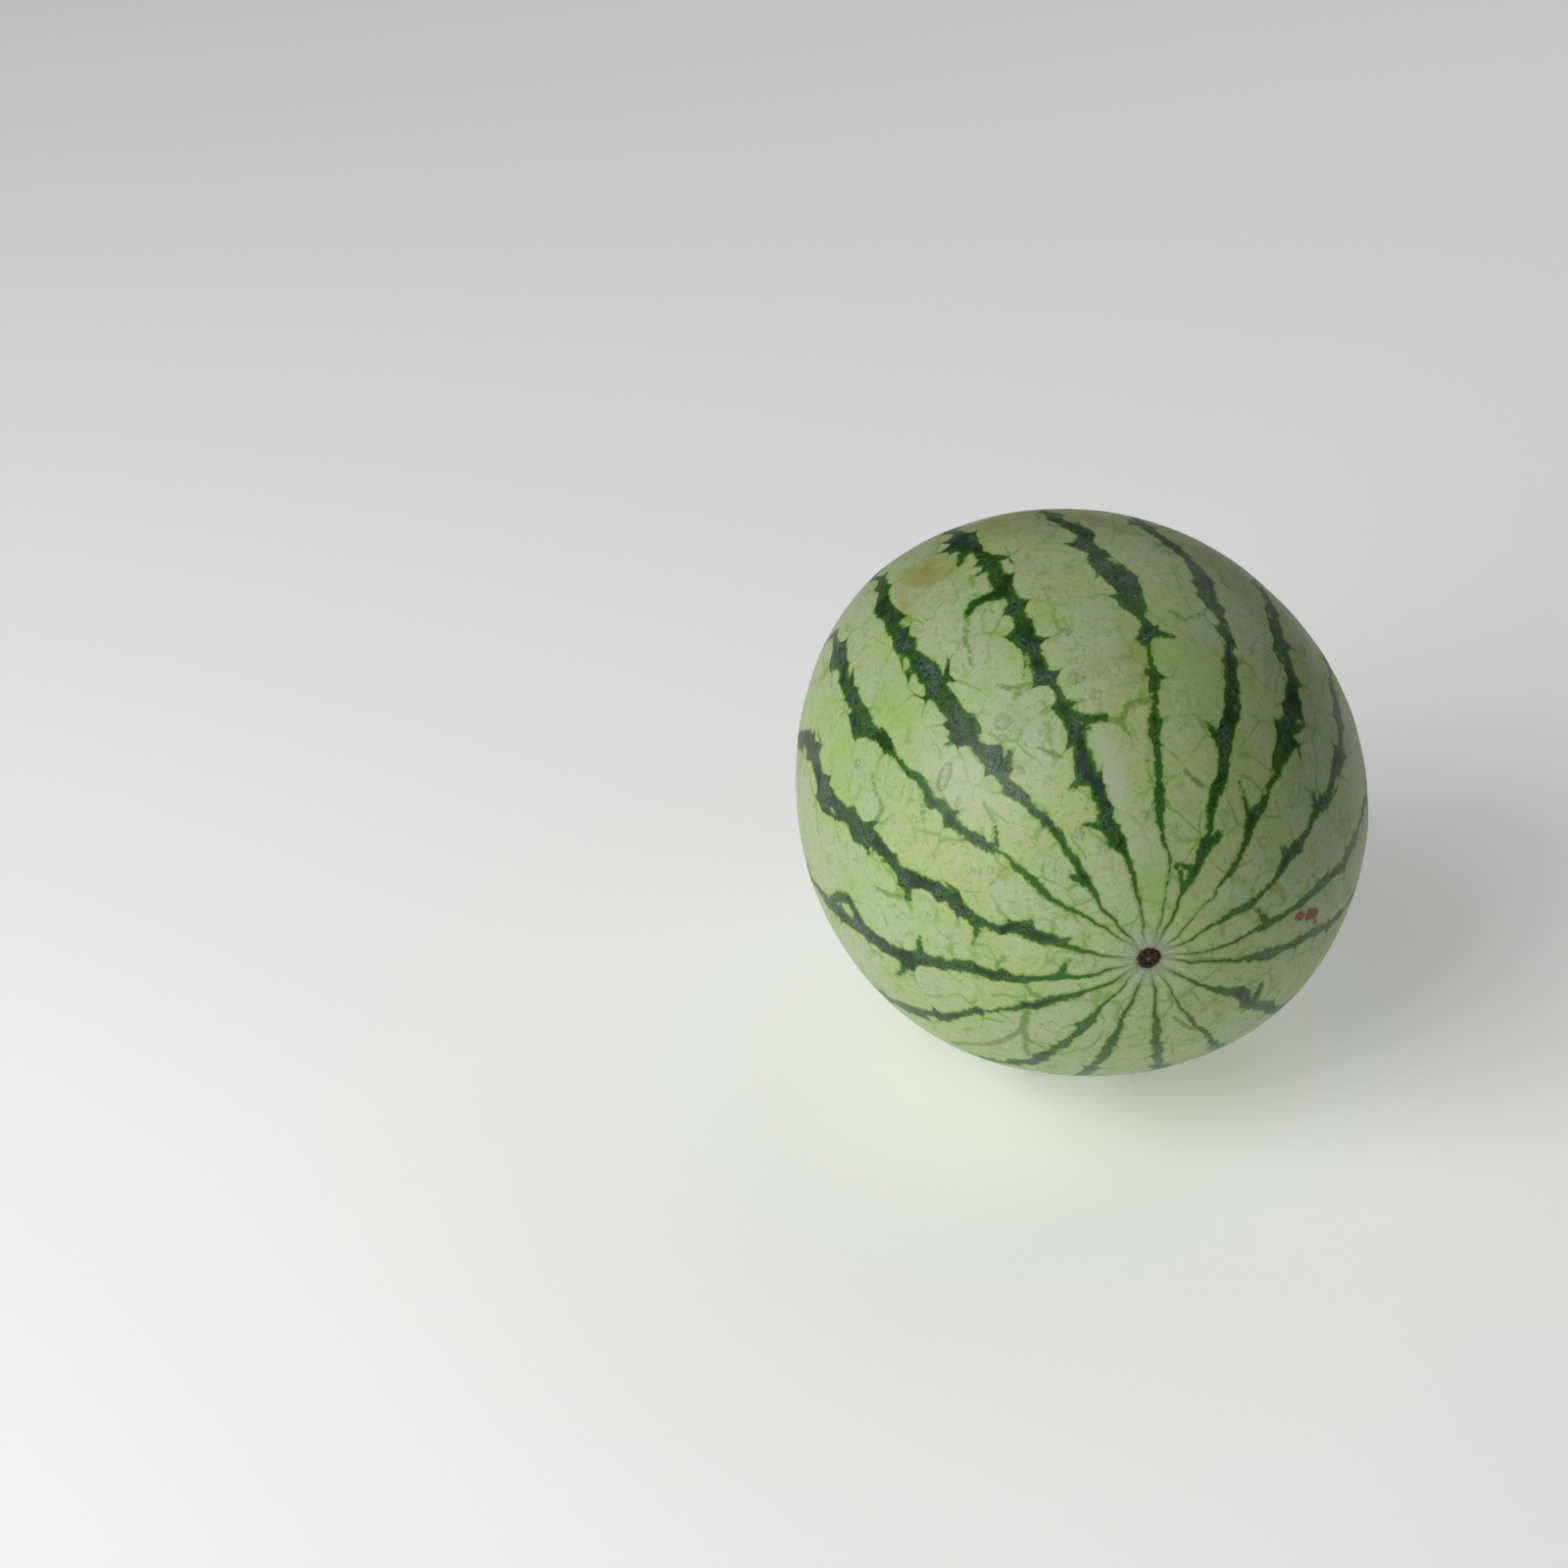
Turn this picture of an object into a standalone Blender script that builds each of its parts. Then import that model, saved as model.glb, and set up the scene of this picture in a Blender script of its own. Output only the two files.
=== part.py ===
"""A whole watermelon lying on its side, in metres, with +Z up.

The fruit's long axis runs along Y. The blossom end faces -Y and the stem end faces +Y.
The fruit grew as one piece. The dried stub of its stalk sits in the dimple at the stem end.
"""

import math

import bmesh
import bpy
from mathutils import Vector

# The fruit before it is made uneven: a ball a little longer than it is wide
EQUATOR_RADIUS = 0.090
HALF_LENGTH = 0.0955
SEGMENTS_ROUND = 64
SEGMENTS_LONG = 40

# Broad swells of the rind: (direction from the middle, height). A negative height is a hollow.
SWELL_REACH = 0.085
SWELLS = (
    (Vector((-0.66, 0.48, 0.58)), 0.0052),
    (Vector((-0.06, -0.57, -0.82)), -0.0040),
    (Vector((0.75, 0.32, 0.58)), -0.0026),
    (Vector((-0.75, -0.32, -0.58)), -0.0016),
    (Vector((0.99, -0.11, 0.00)), -0.0011),
    (Vector((0.66, -0.48, -0.58)), -0.0007),
)

# The shallow dimples at the two ends
BLOSSOM_DIMPLE_REACH = 0.016
BLOSSOM_DIMPLE_DEPTH = 0.0010
STEM_DIMPLE_REACH = 0.020
STEM_DIMPLE_DEPTH = 0.0030

# The small flat spot that it rests on
FOOT_RADIUS = 0.017

# The stalk stub, in a recess of the rind
STUB_RADIUS = 0.0042
STUB_RIBS = 5
STUB_RIB_HEIGHT = 0.0004
STUB_FLARE = 1.12
STUB_HEIGHT = 0.0042
STUB_SEGMENTS = 30
STUB_SEATED = 0.0012
STUB_HOLLOW = 0.0006
GAP = 0.0003

RIND_COLOUR = (0.46, 0.58, 0.36, 1.0)
STUB_COLOUR = (0.24, 0.15, 0.07, 1.0)


def clear_scene() -> None:
    """Remove every object of the startup scene."""
    for obj in list(bpy.data.objects):
        bpy.data.objects.remove(obj, do_unlink=True)


def smooth_falloff(distance: float, reach: float) -> float:
    """Fall from 1 at distance 0 to 0 at the reach, level at both ends."""
    nearness = max(0.0, 1.0 - distance / reach)
    return nearness * nearness * (3.0 - 2.0 * nearness)


def plain_material(name: str, colour: tuple, roughness: float) -> bpy.types.Material:
    """Make a Principled material of one colour.

    Args:
        name: The material's name.
        colour: Linear red, green, blue and alpha.
        roughness: From 0, a mirror, to 1, chalk.

    Returns:
        The material.
    """
    material = bpy.data.materials.new(name)
    material.use_nodes = True
    shader = material.node_tree.nodes["Principled BSDF"]
    shader.inputs["Base Color"].default_value = colour
    shader.inputs["Roughness"].default_value = roughness
    shader.inputs["Metallic"].default_value = 0.0
    return material


def add_object(name: str, mesh: bmesh.types.BMesh, material: bpy.types.Material) -> bpy.types.Object:
    """Turn a bmesh into a named object in the scene, with its faces pointing out.

    Args:
        name: The object's name, which is its node's name.
        mesh: The bmesh, which is freed here.
        material: The object's only material.

    Returns:
        The object, shaded smooth except across sharp edges.
    """
    bmesh.ops.recalc_face_normals(mesh, faces=mesh.faces)
    data = bpy.data.meshes.new(name)
    mesh.to_mesh(data)
    mesh.free()
    data.materials.append(material)
    data.shade_smooth()
    data.set_sharp_from_angle(angle=math.radians(35.0))
    obj = bpy.data.objects.new(name, data)
    bpy.context.scene.collection.objects.link(obj)
    return obj


def egg_radius(direction: Vector) -> float:
    """Distance from the middle to the even fruit's surface, along a unit direction."""
    across = (direction.x ** 2 + direction.z ** 2) / EQUATOR_RADIUS ** 2
    return 1.0 / math.sqrt(across + direction.y ** 2 / HALF_LENGTH ** 2)


def swell(mesh: bmesh.types.BMesh) -> None:
    """Push the rind out, or in, around each of the swells, one after another."""
    for towards, height in SWELLS:
        direction = towards.normalized()
        middle = direction * egg_radius(direction)
        for vert in mesh.verts:
            share = smooth_falloff((vert.co - middle).length, SWELL_REACH)
            vert.co += direction * (height * share)


def dimple(mesh: bmesh.types.BMesh, side: float, reach: float, depth: float) -> None:
    """Press a round dimple into one end of the fruit.

    Args:
        mesh: The fruit.
        side: -1 for the blossom end, 1 for the stem end.
        reach: Radius of the dimple about the long axis.
        depth: How far its middle is pressed in.
    """
    for vert in mesh.verts:
        if vert.co.y * side > 0.0:
            from_axis = math.hypot(vert.co.x, vert.co.z)
            vert.co.y -= side * depth * smooth_falloff(from_axis, reach)


def foot_height(mesh: bmesh.types.BMesh) -> float:
    """Height of the cut that leaves a flat spot about FOOT_RADIUS wide."""
    lowest = min(vert.co.z for vert in mesh.verts)
    return lowest + FOOT_RADIUS ** 2 / (2.0 * EQUATOR_RADIUS)


def cut_foot(mesh: bmesh.types.BMesh) -> None:
    """Slice off the lowest part of the fruit and close the cut with one flat face."""
    everything = mesh.verts[:] + mesh.edges[:] + mesh.faces[:]
    cut = bmesh.ops.bisect_plane(
        mesh,
        geom=everything,
        dist=1e-6,
        plane_co=(0.0, 0.0, foot_height(mesh)),
        plane_no=(0.0, 0.0, 1.0),
        clear_inner=True,
    )
    rim = [part for part in cut["geom_cut"] if isinstance(part, bmesh.types.BMEdge)]
    bmesh.ops.contextual_create(mesh, geom=rim)


def add_watermelon() -> bpy.types.Object:
    """Build the fruit: an uneven ball with dimpled ends and a small flat spot."""
    mesh = bmesh.new()
    bmesh.ops.create_uvsphere(
        mesh, u_segments=SEGMENTS_ROUND, v_segments=SEGMENTS_LONG, radius=1.0
    )
    for vert in mesh.verts:
        # The sphere's poles are on Z, and the fruit's are on Y
        direction = Vector((vert.co.x, vert.co.z, -vert.co.y)).normalized()
        vert.co = direction * egg_radius(direction)
    swell(mesh)
    dimple(mesh, -1.0, BLOSSOM_DIMPLE_REACH, BLOSSOM_DIMPLE_DEPTH)
    dimple(mesh, 1.0, STEM_DIMPLE_REACH, STEM_DIMPLE_DEPTH)
    cut_foot(mesh)
    return add_object("watermelon", mesh, plain_material("rind", RIND_COLOUR, 0.40))


def stem_seat() -> float:
    """Place along Y of the bottom of the stem end's dimple."""
    return HALF_LENGTH - STEM_DIMPLE_DEPTH


def add_recess_cutter() -> bpy.types.Object:
    """Build the round plug that cuts the stub's recess, which stays out of the part."""
    mesh = bmesh.new()
    bmesh.ops.create_cone(
        mesh,
        cap_ends=True,
        segments=STUB_SEGMENTS,
        radius1=STUB_RADIUS * STUB_FLARE + STUB_RIB_HEIGHT + GAP,
        radius2=STUB_RADIUS * STUB_FLARE + STUB_RIB_HEIGHT + GAP,
        depth=STUB_HEIGHT,
    )
    cutter = add_object("recess_cutter", mesh, plain_material("cutter", RIND_COLOUR, 0.5))
    cutter.rotation_euler = (math.radians(-90.0), 0.0, 0.0)
    cutter.location = (0.0, stem_seat() - STUB_SEATED - GAP + STUB_HEIGHT / 2.0, 0.0)
    cutter.hide_render = True
    cutter.display_type = "WIRE"
    return cutter


def cut_recess(fruit: bpy.types.Object, cutter: bpy.types.Object) -> None:
    """Cut the stub's recess out of the fruit."""
    recess = fruit.modifiers.new("recess", "BOOLEAN")
    recess.operation = "DIFFERENCE"
    recess.solver = "EXACT"
    recess.object = cutter


def stub_ring(mesh: bmesh.types.BMesh, along: float, width: float) -> list:
    """Add one ribbed ring of the stub.

    Args:
        mesh: The stub.
        along: The ring's place along Y.
        width: The ring's radius as a share of STUB_RADIUS.

    Returns:
        The ring's vertices, in order.
    """
    ring = []
    for step in range(STUB_SEGMENTS):
        angle = math.tau * step / STUB_SEGMENTS
        radius = STUB_RADIUS * width + STUB_RIB_HEIGHT * math.cos(STUB_RIBS * angle)
        place = (radius * math.cos(angle), along, radius * math.sin(angle))
        ring.append(mesh.verts.new(place))
    return ring


def add_stem_stub() -> bpy.types.Object:
    """Build the dried stalk stub: ribbed, wider at its root, hollowed at its broken tip."""
    root = stem_seat() - STUB_SEATED
    tip = root + STUB_HEIGHT
    mesh = bmesh.new()
    rings = [
        stub_ring(mesh, root, STUB_FLARE),
        stub_ring(mesh, root + STUB_HEIGHT * 0.35, STUB_FLARE * 0.97),
        stub_ring(mesh, root + STUB_HEIGHT * 0.60, 0.92),
        stub_ring(mesh, root + STUB_HEIGHT * 0.88, 0.86),
        stub_ring(mesh, tip, 0.72),
        stub_ring(mesh, tip - STUB_HOLLOW, 0.40),
    ]
    for lower, upper in zip(rings, rings[1:]):
        for step in range(STUB_SEGMENTS):
            after = (step + 1) % STUB_SEGMENTS
            mesh.faces.new((lower[step], lower[after], upper[after], upper[step]))
    mesh.faces.new(rings[0])
    mesh.faces.new(rings[-1])
    return add_object("stem_stub", mesh, plain_material("dry_stalk", STUB_COLOUR, 0.85))


def stand_on_origin(objects: list) -> None:
    """Move the objects so that the middle of their box stands on the origin."""
    bpy.context.view_layer.update()
    corners = [obj.matrix_world @ vert.co for obj in objects for vert in obj.data.vertices]
    low = Vector(min(corner[axis] for corner in corners) for axis in range(3))
    high = Vector(max(corner[axis] for corner in corners) for axis in range(3))
    middle = (low + high) / 2.0
    shift = Vector((middle.x, middle.y, low.z))
    for obj in bpy.data.objects:
        obj.location -= shift


def main() -> None:
    """Build the watermelon and its stub, and stand them on the origin."""
    clear_scene()
    fruit = add_watermelon()
    cut_recess(fruit, add_recess_cutter())
    stub = add_stem_stub()
    stand_on_origin([fruit, stub])


main()
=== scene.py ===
"""The looks of a whole striped watermelon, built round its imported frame.

Every length is in metres unless its name ends in _mm. The fruit lies along Y, with its blossom
end facing -Y and its stem end facing +Y. A place on the rind is given by two angles in degrees:
how far it is from the blossom end, and how far round the fruit, from +X through +Z.
"""

from __future__ import annotations

import logging
import math
from collections.abc import Callable
from dataclasses import dataclass, field
from enum import Enum

import bpy
import numpy as np
from mathutils import Matrix, Vector


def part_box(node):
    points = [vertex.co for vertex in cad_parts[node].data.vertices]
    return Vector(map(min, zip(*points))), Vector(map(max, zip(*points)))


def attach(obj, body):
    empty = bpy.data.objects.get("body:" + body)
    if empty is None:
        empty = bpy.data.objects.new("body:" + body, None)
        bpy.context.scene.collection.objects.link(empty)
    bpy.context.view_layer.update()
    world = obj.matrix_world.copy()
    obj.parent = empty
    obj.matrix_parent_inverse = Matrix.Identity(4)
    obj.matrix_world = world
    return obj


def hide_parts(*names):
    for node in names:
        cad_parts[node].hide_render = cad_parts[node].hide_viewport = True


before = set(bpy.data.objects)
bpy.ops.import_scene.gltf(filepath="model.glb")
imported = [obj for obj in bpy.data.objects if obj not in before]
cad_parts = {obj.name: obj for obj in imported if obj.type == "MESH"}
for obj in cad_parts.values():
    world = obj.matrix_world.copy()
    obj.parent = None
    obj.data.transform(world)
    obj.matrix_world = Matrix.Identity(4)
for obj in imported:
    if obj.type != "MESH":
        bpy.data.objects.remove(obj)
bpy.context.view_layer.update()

LOG = logging.getLogger("watermelon")
MM = 0.001
FAR_OUTSIDE_MM = -9.0

MATH = "ShaderNodeMath"
MIX = "ShaderNodeMix"
NOISE = "ShaderNodeTexNoise"
VORONOI = "ShaderNodeTexVoronoi"
RANGE = "ShaderNodeMapRange"
VECTOR = "ShaderNodeVectorMath"


class End(Enum):
    """The two ends of the fruit, by the sign of Y there."""

    BLOSSOM = -1.0
    STEM = 1.0


class Layer(Enum):
    """The numbers that each point of the rind carries for its material."""

    GAP = "gap_mm"
    WIDTH = "half_width_mm"
    SPUR = "spur_mm"
    VEIN = "vein_mm"
    DEPTH = "depth"
    TAN = "tan"
    # Pale chalky bloom, which is also a painted highlight where the broad shine falls
    CHALK = "chalk"
    SCAB = "scab_mm"
    LEAF = "leaf_mm"
    # Greener rind, which on the left side is also painted shade
    GREEN = "green"


def linear(colour: str) -> tuple[float, float, float, float]:
    """Turn an sRGB hex colour into the linear one that shaders take.

    Args:
        colour: Six hex digits after a hash sign.

    Returns:
        Linear red, green and blue, and an alpha of 1.
    """
    parts = [int(colour[place : place + 2], 16) / 255.0 for place in (1, 3, 5)]
    red, green, blue = (
        part / 12.92 if part <= 0.04045 else ((part + 0.055) / 1.055) ** 2.4 for part in parts
    )
    return red, green, blue, 1.0


def add_node(
    tree: bpy.types.NodeTree, kind: str, inputs: dict | None = None, **settings: object
) -> bpy.types.Node:
    """Add a shader node, set it up and link what feeds it.

    Args:
        tree: The material's node tree.
        kind: The node's type.
        inputs: Socket name or number to its value, or to the socket that feeds it.
        settings: The node's own settings.

    Returns:
        The node.
    """
    node = tree.nodes.new(kind)
    for name, value in settings.items():
        setattr(node, name, value)
    for name, value in (inputs or {}).items():
        if isinstance(value, bpy.types.NodeSocket):
            tree.links.new(value, node.inputs[name])
        else:
            node.inputs[name].default_value = value
    return node


def deselect_all() -> None:
    """Leave edit mode and select nothing."""
    if bpy.context.mode != "OBJECT":
        bpy.ops.object.mode_set(mode="OBJECT")
    bpy.ops.object.select_all(action="DESELECT")


def place_on(colatitude: float, longitude: float) -> Vector:
    """Unit direction of a place on the rind, from its two angles in degrees."""
    down, around = math.radians(colatitude), math.radians(longitude)
    return Vector(
        (
            math.sin(down) * math.cos(around),
            -math.cos(down),
            math.sin(down) * math.sin(around),
        )
    )


class Part(Enum):
    """What an edit selects: Blender's name for it, and where a mesh keeps it."""

    POINT = ("VERT", "vertices")
    EDGE = ("EDGE", "edges")
    FACE = ("FACE", "polygons")


def per_metre(size_mm: float) -> float:
    """How many times a size in mm goes into a metre, which is a pattern's scale."""
    return 1.0 / (size_mm * MM)


def blank_material(name: str) -> bpy.types.Material:
    """Start a material that has no nodes yet."""
    material = bpy.data.materials.new(name)
    material.use_nodes = True
    material.node_tree.nodes.clear()
    return material


def select_only(obj: bpy.types.Object, part: Part, test: Callable[..., bool]) -> None:
    """Select only the points, edges or faces that pass a test, and stay in edit mode."""
    mode, keeper = part.value
    bpy.ops.object.mode_set(mode="EDIT")
    bpy.ops.mesh.select_mode(type=mode)
    bpy.ops.mesh.select_all(action="DESELECT")
    bpy.ops.object.mode_set(mode="OBJECT")
    for item in getattr(obj.data, keeper):
        item.select = test(item)
    bpy.ops.object.mode_set(mode="EDIT")


def weather(obj: bpy.types.Object, levels: int, grain: float, depth: int, lift: float) -> None:
    """Divide a piece's faces smoothly, and lift its skin unevenly.

    Args:
        obj: The piece, which is the active object.
        levels: How many times its faces are divided.
        grain: The size of the bumps.
        depth: How many finer sizes of bump lie on them.
        lift: The height of the bumps.
    """
    if levels:
        finer = obj.modifiers.new("finer", "SUBSURF")
        finer.levels = levels
        finer.render_levels = levels
        bpy.ops.object.modifier_apply(modifier=finer.name)
    clouds = bpy.data.textures.new("bumps", "CLOUDS")
    clouds.noise_scale = grain
    clouds.noise_depth = depth
    uneven = obj.modifiers.new("uneven", "DISPLACE")
    uneven.texture = clouds
    uneven.texture_coords = "LOCAL"
    uneven.strength = lift
    bpy.ops.object.modifier_apply(modifier=uneven.name)


def join_parts(parts: list[bpy.types.Object], name: str) -> bpy.types.Object:
    """Join parts into one smooth piece, with its place in its mesh."""
    deselect_all()
    for part in parts:
        part.select_set(True)
    bpy.context.view_layer.objects.active = parts[0]
    bpy.ops.object.transform_apply(location=True, rotation=True, scale=True)
    bpy.ops.object.join()
    obj = bpy.context.object
    obj.name = name
    obj.data.name = name
    bpy.ops.object.shade_smooth()
    return obj


# ---------------------------------------------------------------------------
# The pattern of the rind, as it grew
# ---------------------------------------------------------------------------


@dataclass(frozen=True)
class Stripe:
    """One dark stripe, which runs from the blossom end to the stem end.

    Args:
        course: Its places, each as (angle from the blossom end, angle round, width in mm).
        depth: How dark it grows, from 0, a faint green line, to 1, blue-black green.
    """

    course: tuple[tuple[float, float, float], ...]
    depth: float


@dataclass(frozen=True)
class Stroke:
    """A mark drawn along a line on the rind, such as a side branch of a stripe.

    Args:
        path: Its places, each as (angle from the blossom end, angle round).
        widths_mm: Its width at its start and at its end.
    """

    path: tuple[tuple[float, float], ...]
    widths_mm: tuple[float, float]


@dataclass(frozen=True)
class Blush:
    """A soft-edged patch where the rind has another tinge.

    Args:
        place: Its middle, as (angle from the blossom end, angle round).
        size_mm: Its half-lengths along and across the fruit.
        strength: From 0, none, to 1.
    """

    place: tuple[float, float]
    size_mm: tuple[float, float]
    strength: float


STRIPES = (
    Stripe(
        (
            (9, 0.5, 0.5), (15, 1.5, 1.0), (20, 5, 1.2), (24, 5.4, 2.2), (28, 5, 1.2),
            (32, 6, 1.6), (37, 7, 2.8), (42, 7, 2.4), (47, 6.5, 4.6), (53, 9, 2.6), (60, 10, 2.2),
        ),
        0.35,
    ),
    Stripe(
        (
            (5, 24, 0.8), (10, 22, 1.3), (15, 23.5, 1.4), (20, 21, 2.4), (24, 21.5, 1.6),
            (28, 23.5, 1.9), (32, 26.5, 4.2), (36, 26.5, 2.8), (40, 27.5, 2.4), (43.5, 28.5, 4.0),
            (47, 27, 3.0), (51, 28, 3.4), (55, 29.5, 4.8), (60, 29.5, 4.4), (66, 32.5, 5.2),
            (72, 35, 4.4),
        ),
        0.6,
    ),
    Stripe(
        (
            (14, 43, 0.3), (20, 44.6, 1.1), (24, 45.4, 1.8), (28, 46, 2.6), (31, 48.5, 3.8),
            (35, 47.2, 1.4), (41, 47, 1.4), (45, 47, 4.4), (48, 47, 8.0), (52, 48.5, 6.2),
            (55, 47.7, 6.8), (59, 48.5, 4.6), (63, 48.5, 3.4), (67, 51, 6.6), (71, 52, 5.4),
            (76, 52.3, 4.2), (82, 53, 3.6), (91, 54, 3.4),
        ),
        0.65,
    ),
    Stripe(
        (
            (5, 64.6, 1.2), (10, 64.3, 1.4), (15, 65, 1.6), (18, 62.5, 3.8), (22, 63, 2.6),
            (26, 64, 1.9), (30, 65, 2.8), (36, 64.3, 3.8), (40, 65, 3.6), (43.5, 66.5, 6.4),
            (47, 64.7, 4.0), (51, 64.7, 4.8), (56, 65.4, 3.6), (62, 66.5, 3.4), (68, 67, 3.8),
            (73, 68.6, 4.2), (78, 69, 6.4), (83, 70.2, 6.6), (89, 72.4, 2.4), (95, 75.5, 4.8),
            (101, 77.3, 6.4), (107, 77, 3.0),
        ),
        0.85,
    ),
    Stripe(
        (
            (16, 78, 0.3), (19, 79.3, 0.6), (22, 82, 0.8), (26, 85, 1.2), (29.5, 85.3, 2.6),
            (33, 85.2, 1.3), (37, 85.7, 3.0), (40, 85.7, 2.4), (44, 85.7, 2.2), (47, 85.2, 1.3),
            (52, 84, 2.8), (56, 84.7, 1.8), (60, 85, 2.4), (63, 84.6, 4.2), (66, 85.3, 2.8),
            (70, 86.8, 5.2), (74, 86.6, 7.4), (78, 88, 9.0), (82, 89.6, 5.6), (86, 90.8, 4.4),
            (90, 92.3, 5.2), (94, 90.8, 7.0), (98, 92.4, 4.6), (103, 94.4, 5.2), (110, 95.3, 2.8),
            (116, 95.5, 2.6),
        ),
        0.7,
    ),
    Stripe(
        (
            (6, 103.3, 0.8), (12, 102, 1.1), (17, 101.3, 1.2), (20, 102, 1.8), (22.5, 104.2, 4.2),
            (25.5, 106.5, 5.4), (29, 105.6, 3.6), (33, 105.7, 2.6), (36.5, 107.7, 5.8),
            (40, 106.4, 5.4), (44, 106.7, 3.6), (47, 106.7, 3.6), (50.5, 107.7, 3.8),
            (54, 107.3, 3.6), (57, 109.5, 6.4), (61, 109, 4.8), (65, 109, 5.2), (68, 109.6, 8.6),
            (71.5, 109, 4.6), (75, 109.3, 4.8), (79, 109.6, 6.2), (82.5, 110.4, 7.4),
            (86, 110.2, 5.6), (89.5, 110.4, 6.6), (93, 110.8, 4.4), (97, 111.8, 3.4),
            (101, 114.6, 7.4), (105, 114.4, 8.0), (109, 114, 5.6), (113, 115, 4.2),
            (118, 115.6, 4.6),
        ),
        0.9,
    ),
    Stripe(
        (
            (5, 130, 0.8), (10, 129.7, 1.1), (15, 129, 1.5), (19.5, 127, 3.2), (23, 125.7, 1.9),
            (27, 125.7, 1.8), (30, 125.2, 2.8), (34, 127.2, 2.4), (38, 128, 2.6), (41, 129.3, 4.0),
            (44.5, 128.7, 6.2), (47, 128.2, 7.2), (50, 130.2, 4.8), (53, 130.5, 5.2),
            (55.5, 131.2, 7.0), (60, 131, 5.0), (64, 131, 5.2), (68, 130.6, 8.4), (71, 130.6, 8.4),
            (76, 131.7, 5.4), (80, 132.2, 4.6), (85, 132.2, 4.2), (87.5, 133, 6.0),
            (91, 132.2, 4.4), (94.5, 133, 6.4), (98, 132.2, 4.6), (103, 132, 3.8), (110, 132.2, 3.0),
        ),
        0.95,
    ),
    Stripe(
        (
            (6, 140, 0.4), (10, 141.3, 0.8), (14, 142.7, 0.9), (17.5, 146, 1.2), (20, 146, 1.3),
            (23, 146.8, 2.4), (26, 144.3, 1.1), (30, 144.7, 1.0), (34, 144.7, 1.0),
            (37, 146.6, 2.4), (40, 147, 2.2), (43.5, 148, 4.0), (46.5, 146.8, 1.8),
            (49.5, 147.8, 4.2), (52, 147, 2.0), (55, 146.1, 1.5), (59, 146.7, 1.6), (64, 147, 1.6),
            (68, 146.8, 3.2), (71.5, 147.6, 3.6), (75, 149.2, 7.4), (78, 148.6, 5.4),
            (81, 147, 4.4), (84, 147.4, 4.6), (88, 147, 4.0), (92, 146.5, 3.8), (96.5, 146.3, 8.6),
            (101, 146, 3.0), (107, 146, 2.6),
        ),
        0.8,
    ),
    Stripe(
        (
            (5, 174, 0.7), (10, 171.5, 1.1), (13, 170.8, 1.5), (16, 168, 3.2), (19.5, 168.6, 3.6),
            (23, 167, 5.4), (26, 169.7, 3.0), (29, 170.8, 1.9), (31.7, 171.3, 5.2),
            (35, 168.6, 4.6), (38, 166.6, 4.2), (44, 167, 3.8), (47.5, 168.6, 7.6),
            (51, 167.3, 3.2), (54, 166, 4.0), (58.5, 165.2, 7.4), (62, 167, 9.0),
            (66, 165.4, 6.2), (70, 165.8, 5.4), (73, 165.8, 6.0), (76.5, 167, 10.5),
            (80, 165.4, 7.6), (86, 163, 6.0), (92, 163, 6.4),
        ),
        1.0,
    ),
    Stripe(
        (
            (5, 197, 0.8), (8, 196, 1.1), (13, 195.4, 1.3), (16, 193.6, 2.6), (20, 193.8, 1.9),
            (23, 193.8, 1.9), (26, 193, 3.4), (29, 192, 2.8), (33, 189.4, 3.0), (36, 190.4, 2.8),
            (40, 191.5, 3.6), (44, 190.4, 5.8), (48, 193.6, 5.8), (52, 192.3, 3.6),
            (56, 190.4, 5.0), (60, 190, 6.0), (64, 190.3, 3.6), (70, 190.2, 5.6), (76, 190.8, 5.0),
        ),
        0.85,
    ),
    Stripe(
        (
            (4, 217, 1.2), (9, 215.4, 1.7), (14, 211.4, 1.6), (18, 210.4, 2.6), (22, 209.6, 2.6),
            (26, 210, 1.7), (30, 210, 1.2), (34, 209.6, 1.4), (38.5, 210.3, 3.2), (42, 213, 4.4),
            (46, 213, 4.0), (50, 213, 4.2), (56, 213.8, 5.4), (62, 214.6, 5.6),
        ),
        0.9,
    ),
    Stripe(
        (
            (4, 232, 0.8), (10, 233.5, 1.1), (15, 235.4, 2.2), (19, 236.5, 3.6), (23, 238.5, 2.3),
            (28, 239.2, 2.3), (33, 240, 2.8), (38, 240.8, 4.0), (44, 240, 4.0), (50, 239, 3.6),
        ),
        0.6,
    ),
    Stripe(
        (
            (4, 256, 0.9), (10, 255.8, 1.5), (15, 255.4, 1.8), (19, 257, 3.0), (23, 257.3, 2.4),
            (28, 257.7, 2.8), (33, 258.5, 3.0), (38, 259.2, 3.6), (43, 259.8, 3.6),
        ),
        0.6,
    ),
    Stripe(
        ((4, 281, 0.9), (10, 281, 1.5), (20, 279, 2.8), (30, 281, 2.8), (38, 281, 3.2)),
        0.6,
    ),
    Stripe(
        ((6, 301, 0.3), (12, 300, 0.7), (20, 300, 0.9), (28, 301, 1.2), (36, 300, 1.6)),
        0.4,
    ),
    Stripe(
        (
            (5, 322, 0.8), (10, 323, 1.2), (14, 324, 1.6), (19, 326, 2.6), (23, 326.5, 4.5),
            (27, 324, 3.6), (31, 322, 3.4), (37, 321, 3.6), (43, 320, 3.8),
        ),
        0.6,
    ),
    Stripe(
        (
            (6, 346, 0.6), (11, 349, 1.6), (15, 348, 1.2), (20, 348.5, 1.8), (25, 348, 3.8),
            (29, 350, 2.0), (34, 351, 2.6), (39, 350.5, 2.2), (45, 349.5, 3.0), (52, 350.5, 2.6),
        ),
        0.5,
    ),
)

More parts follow.
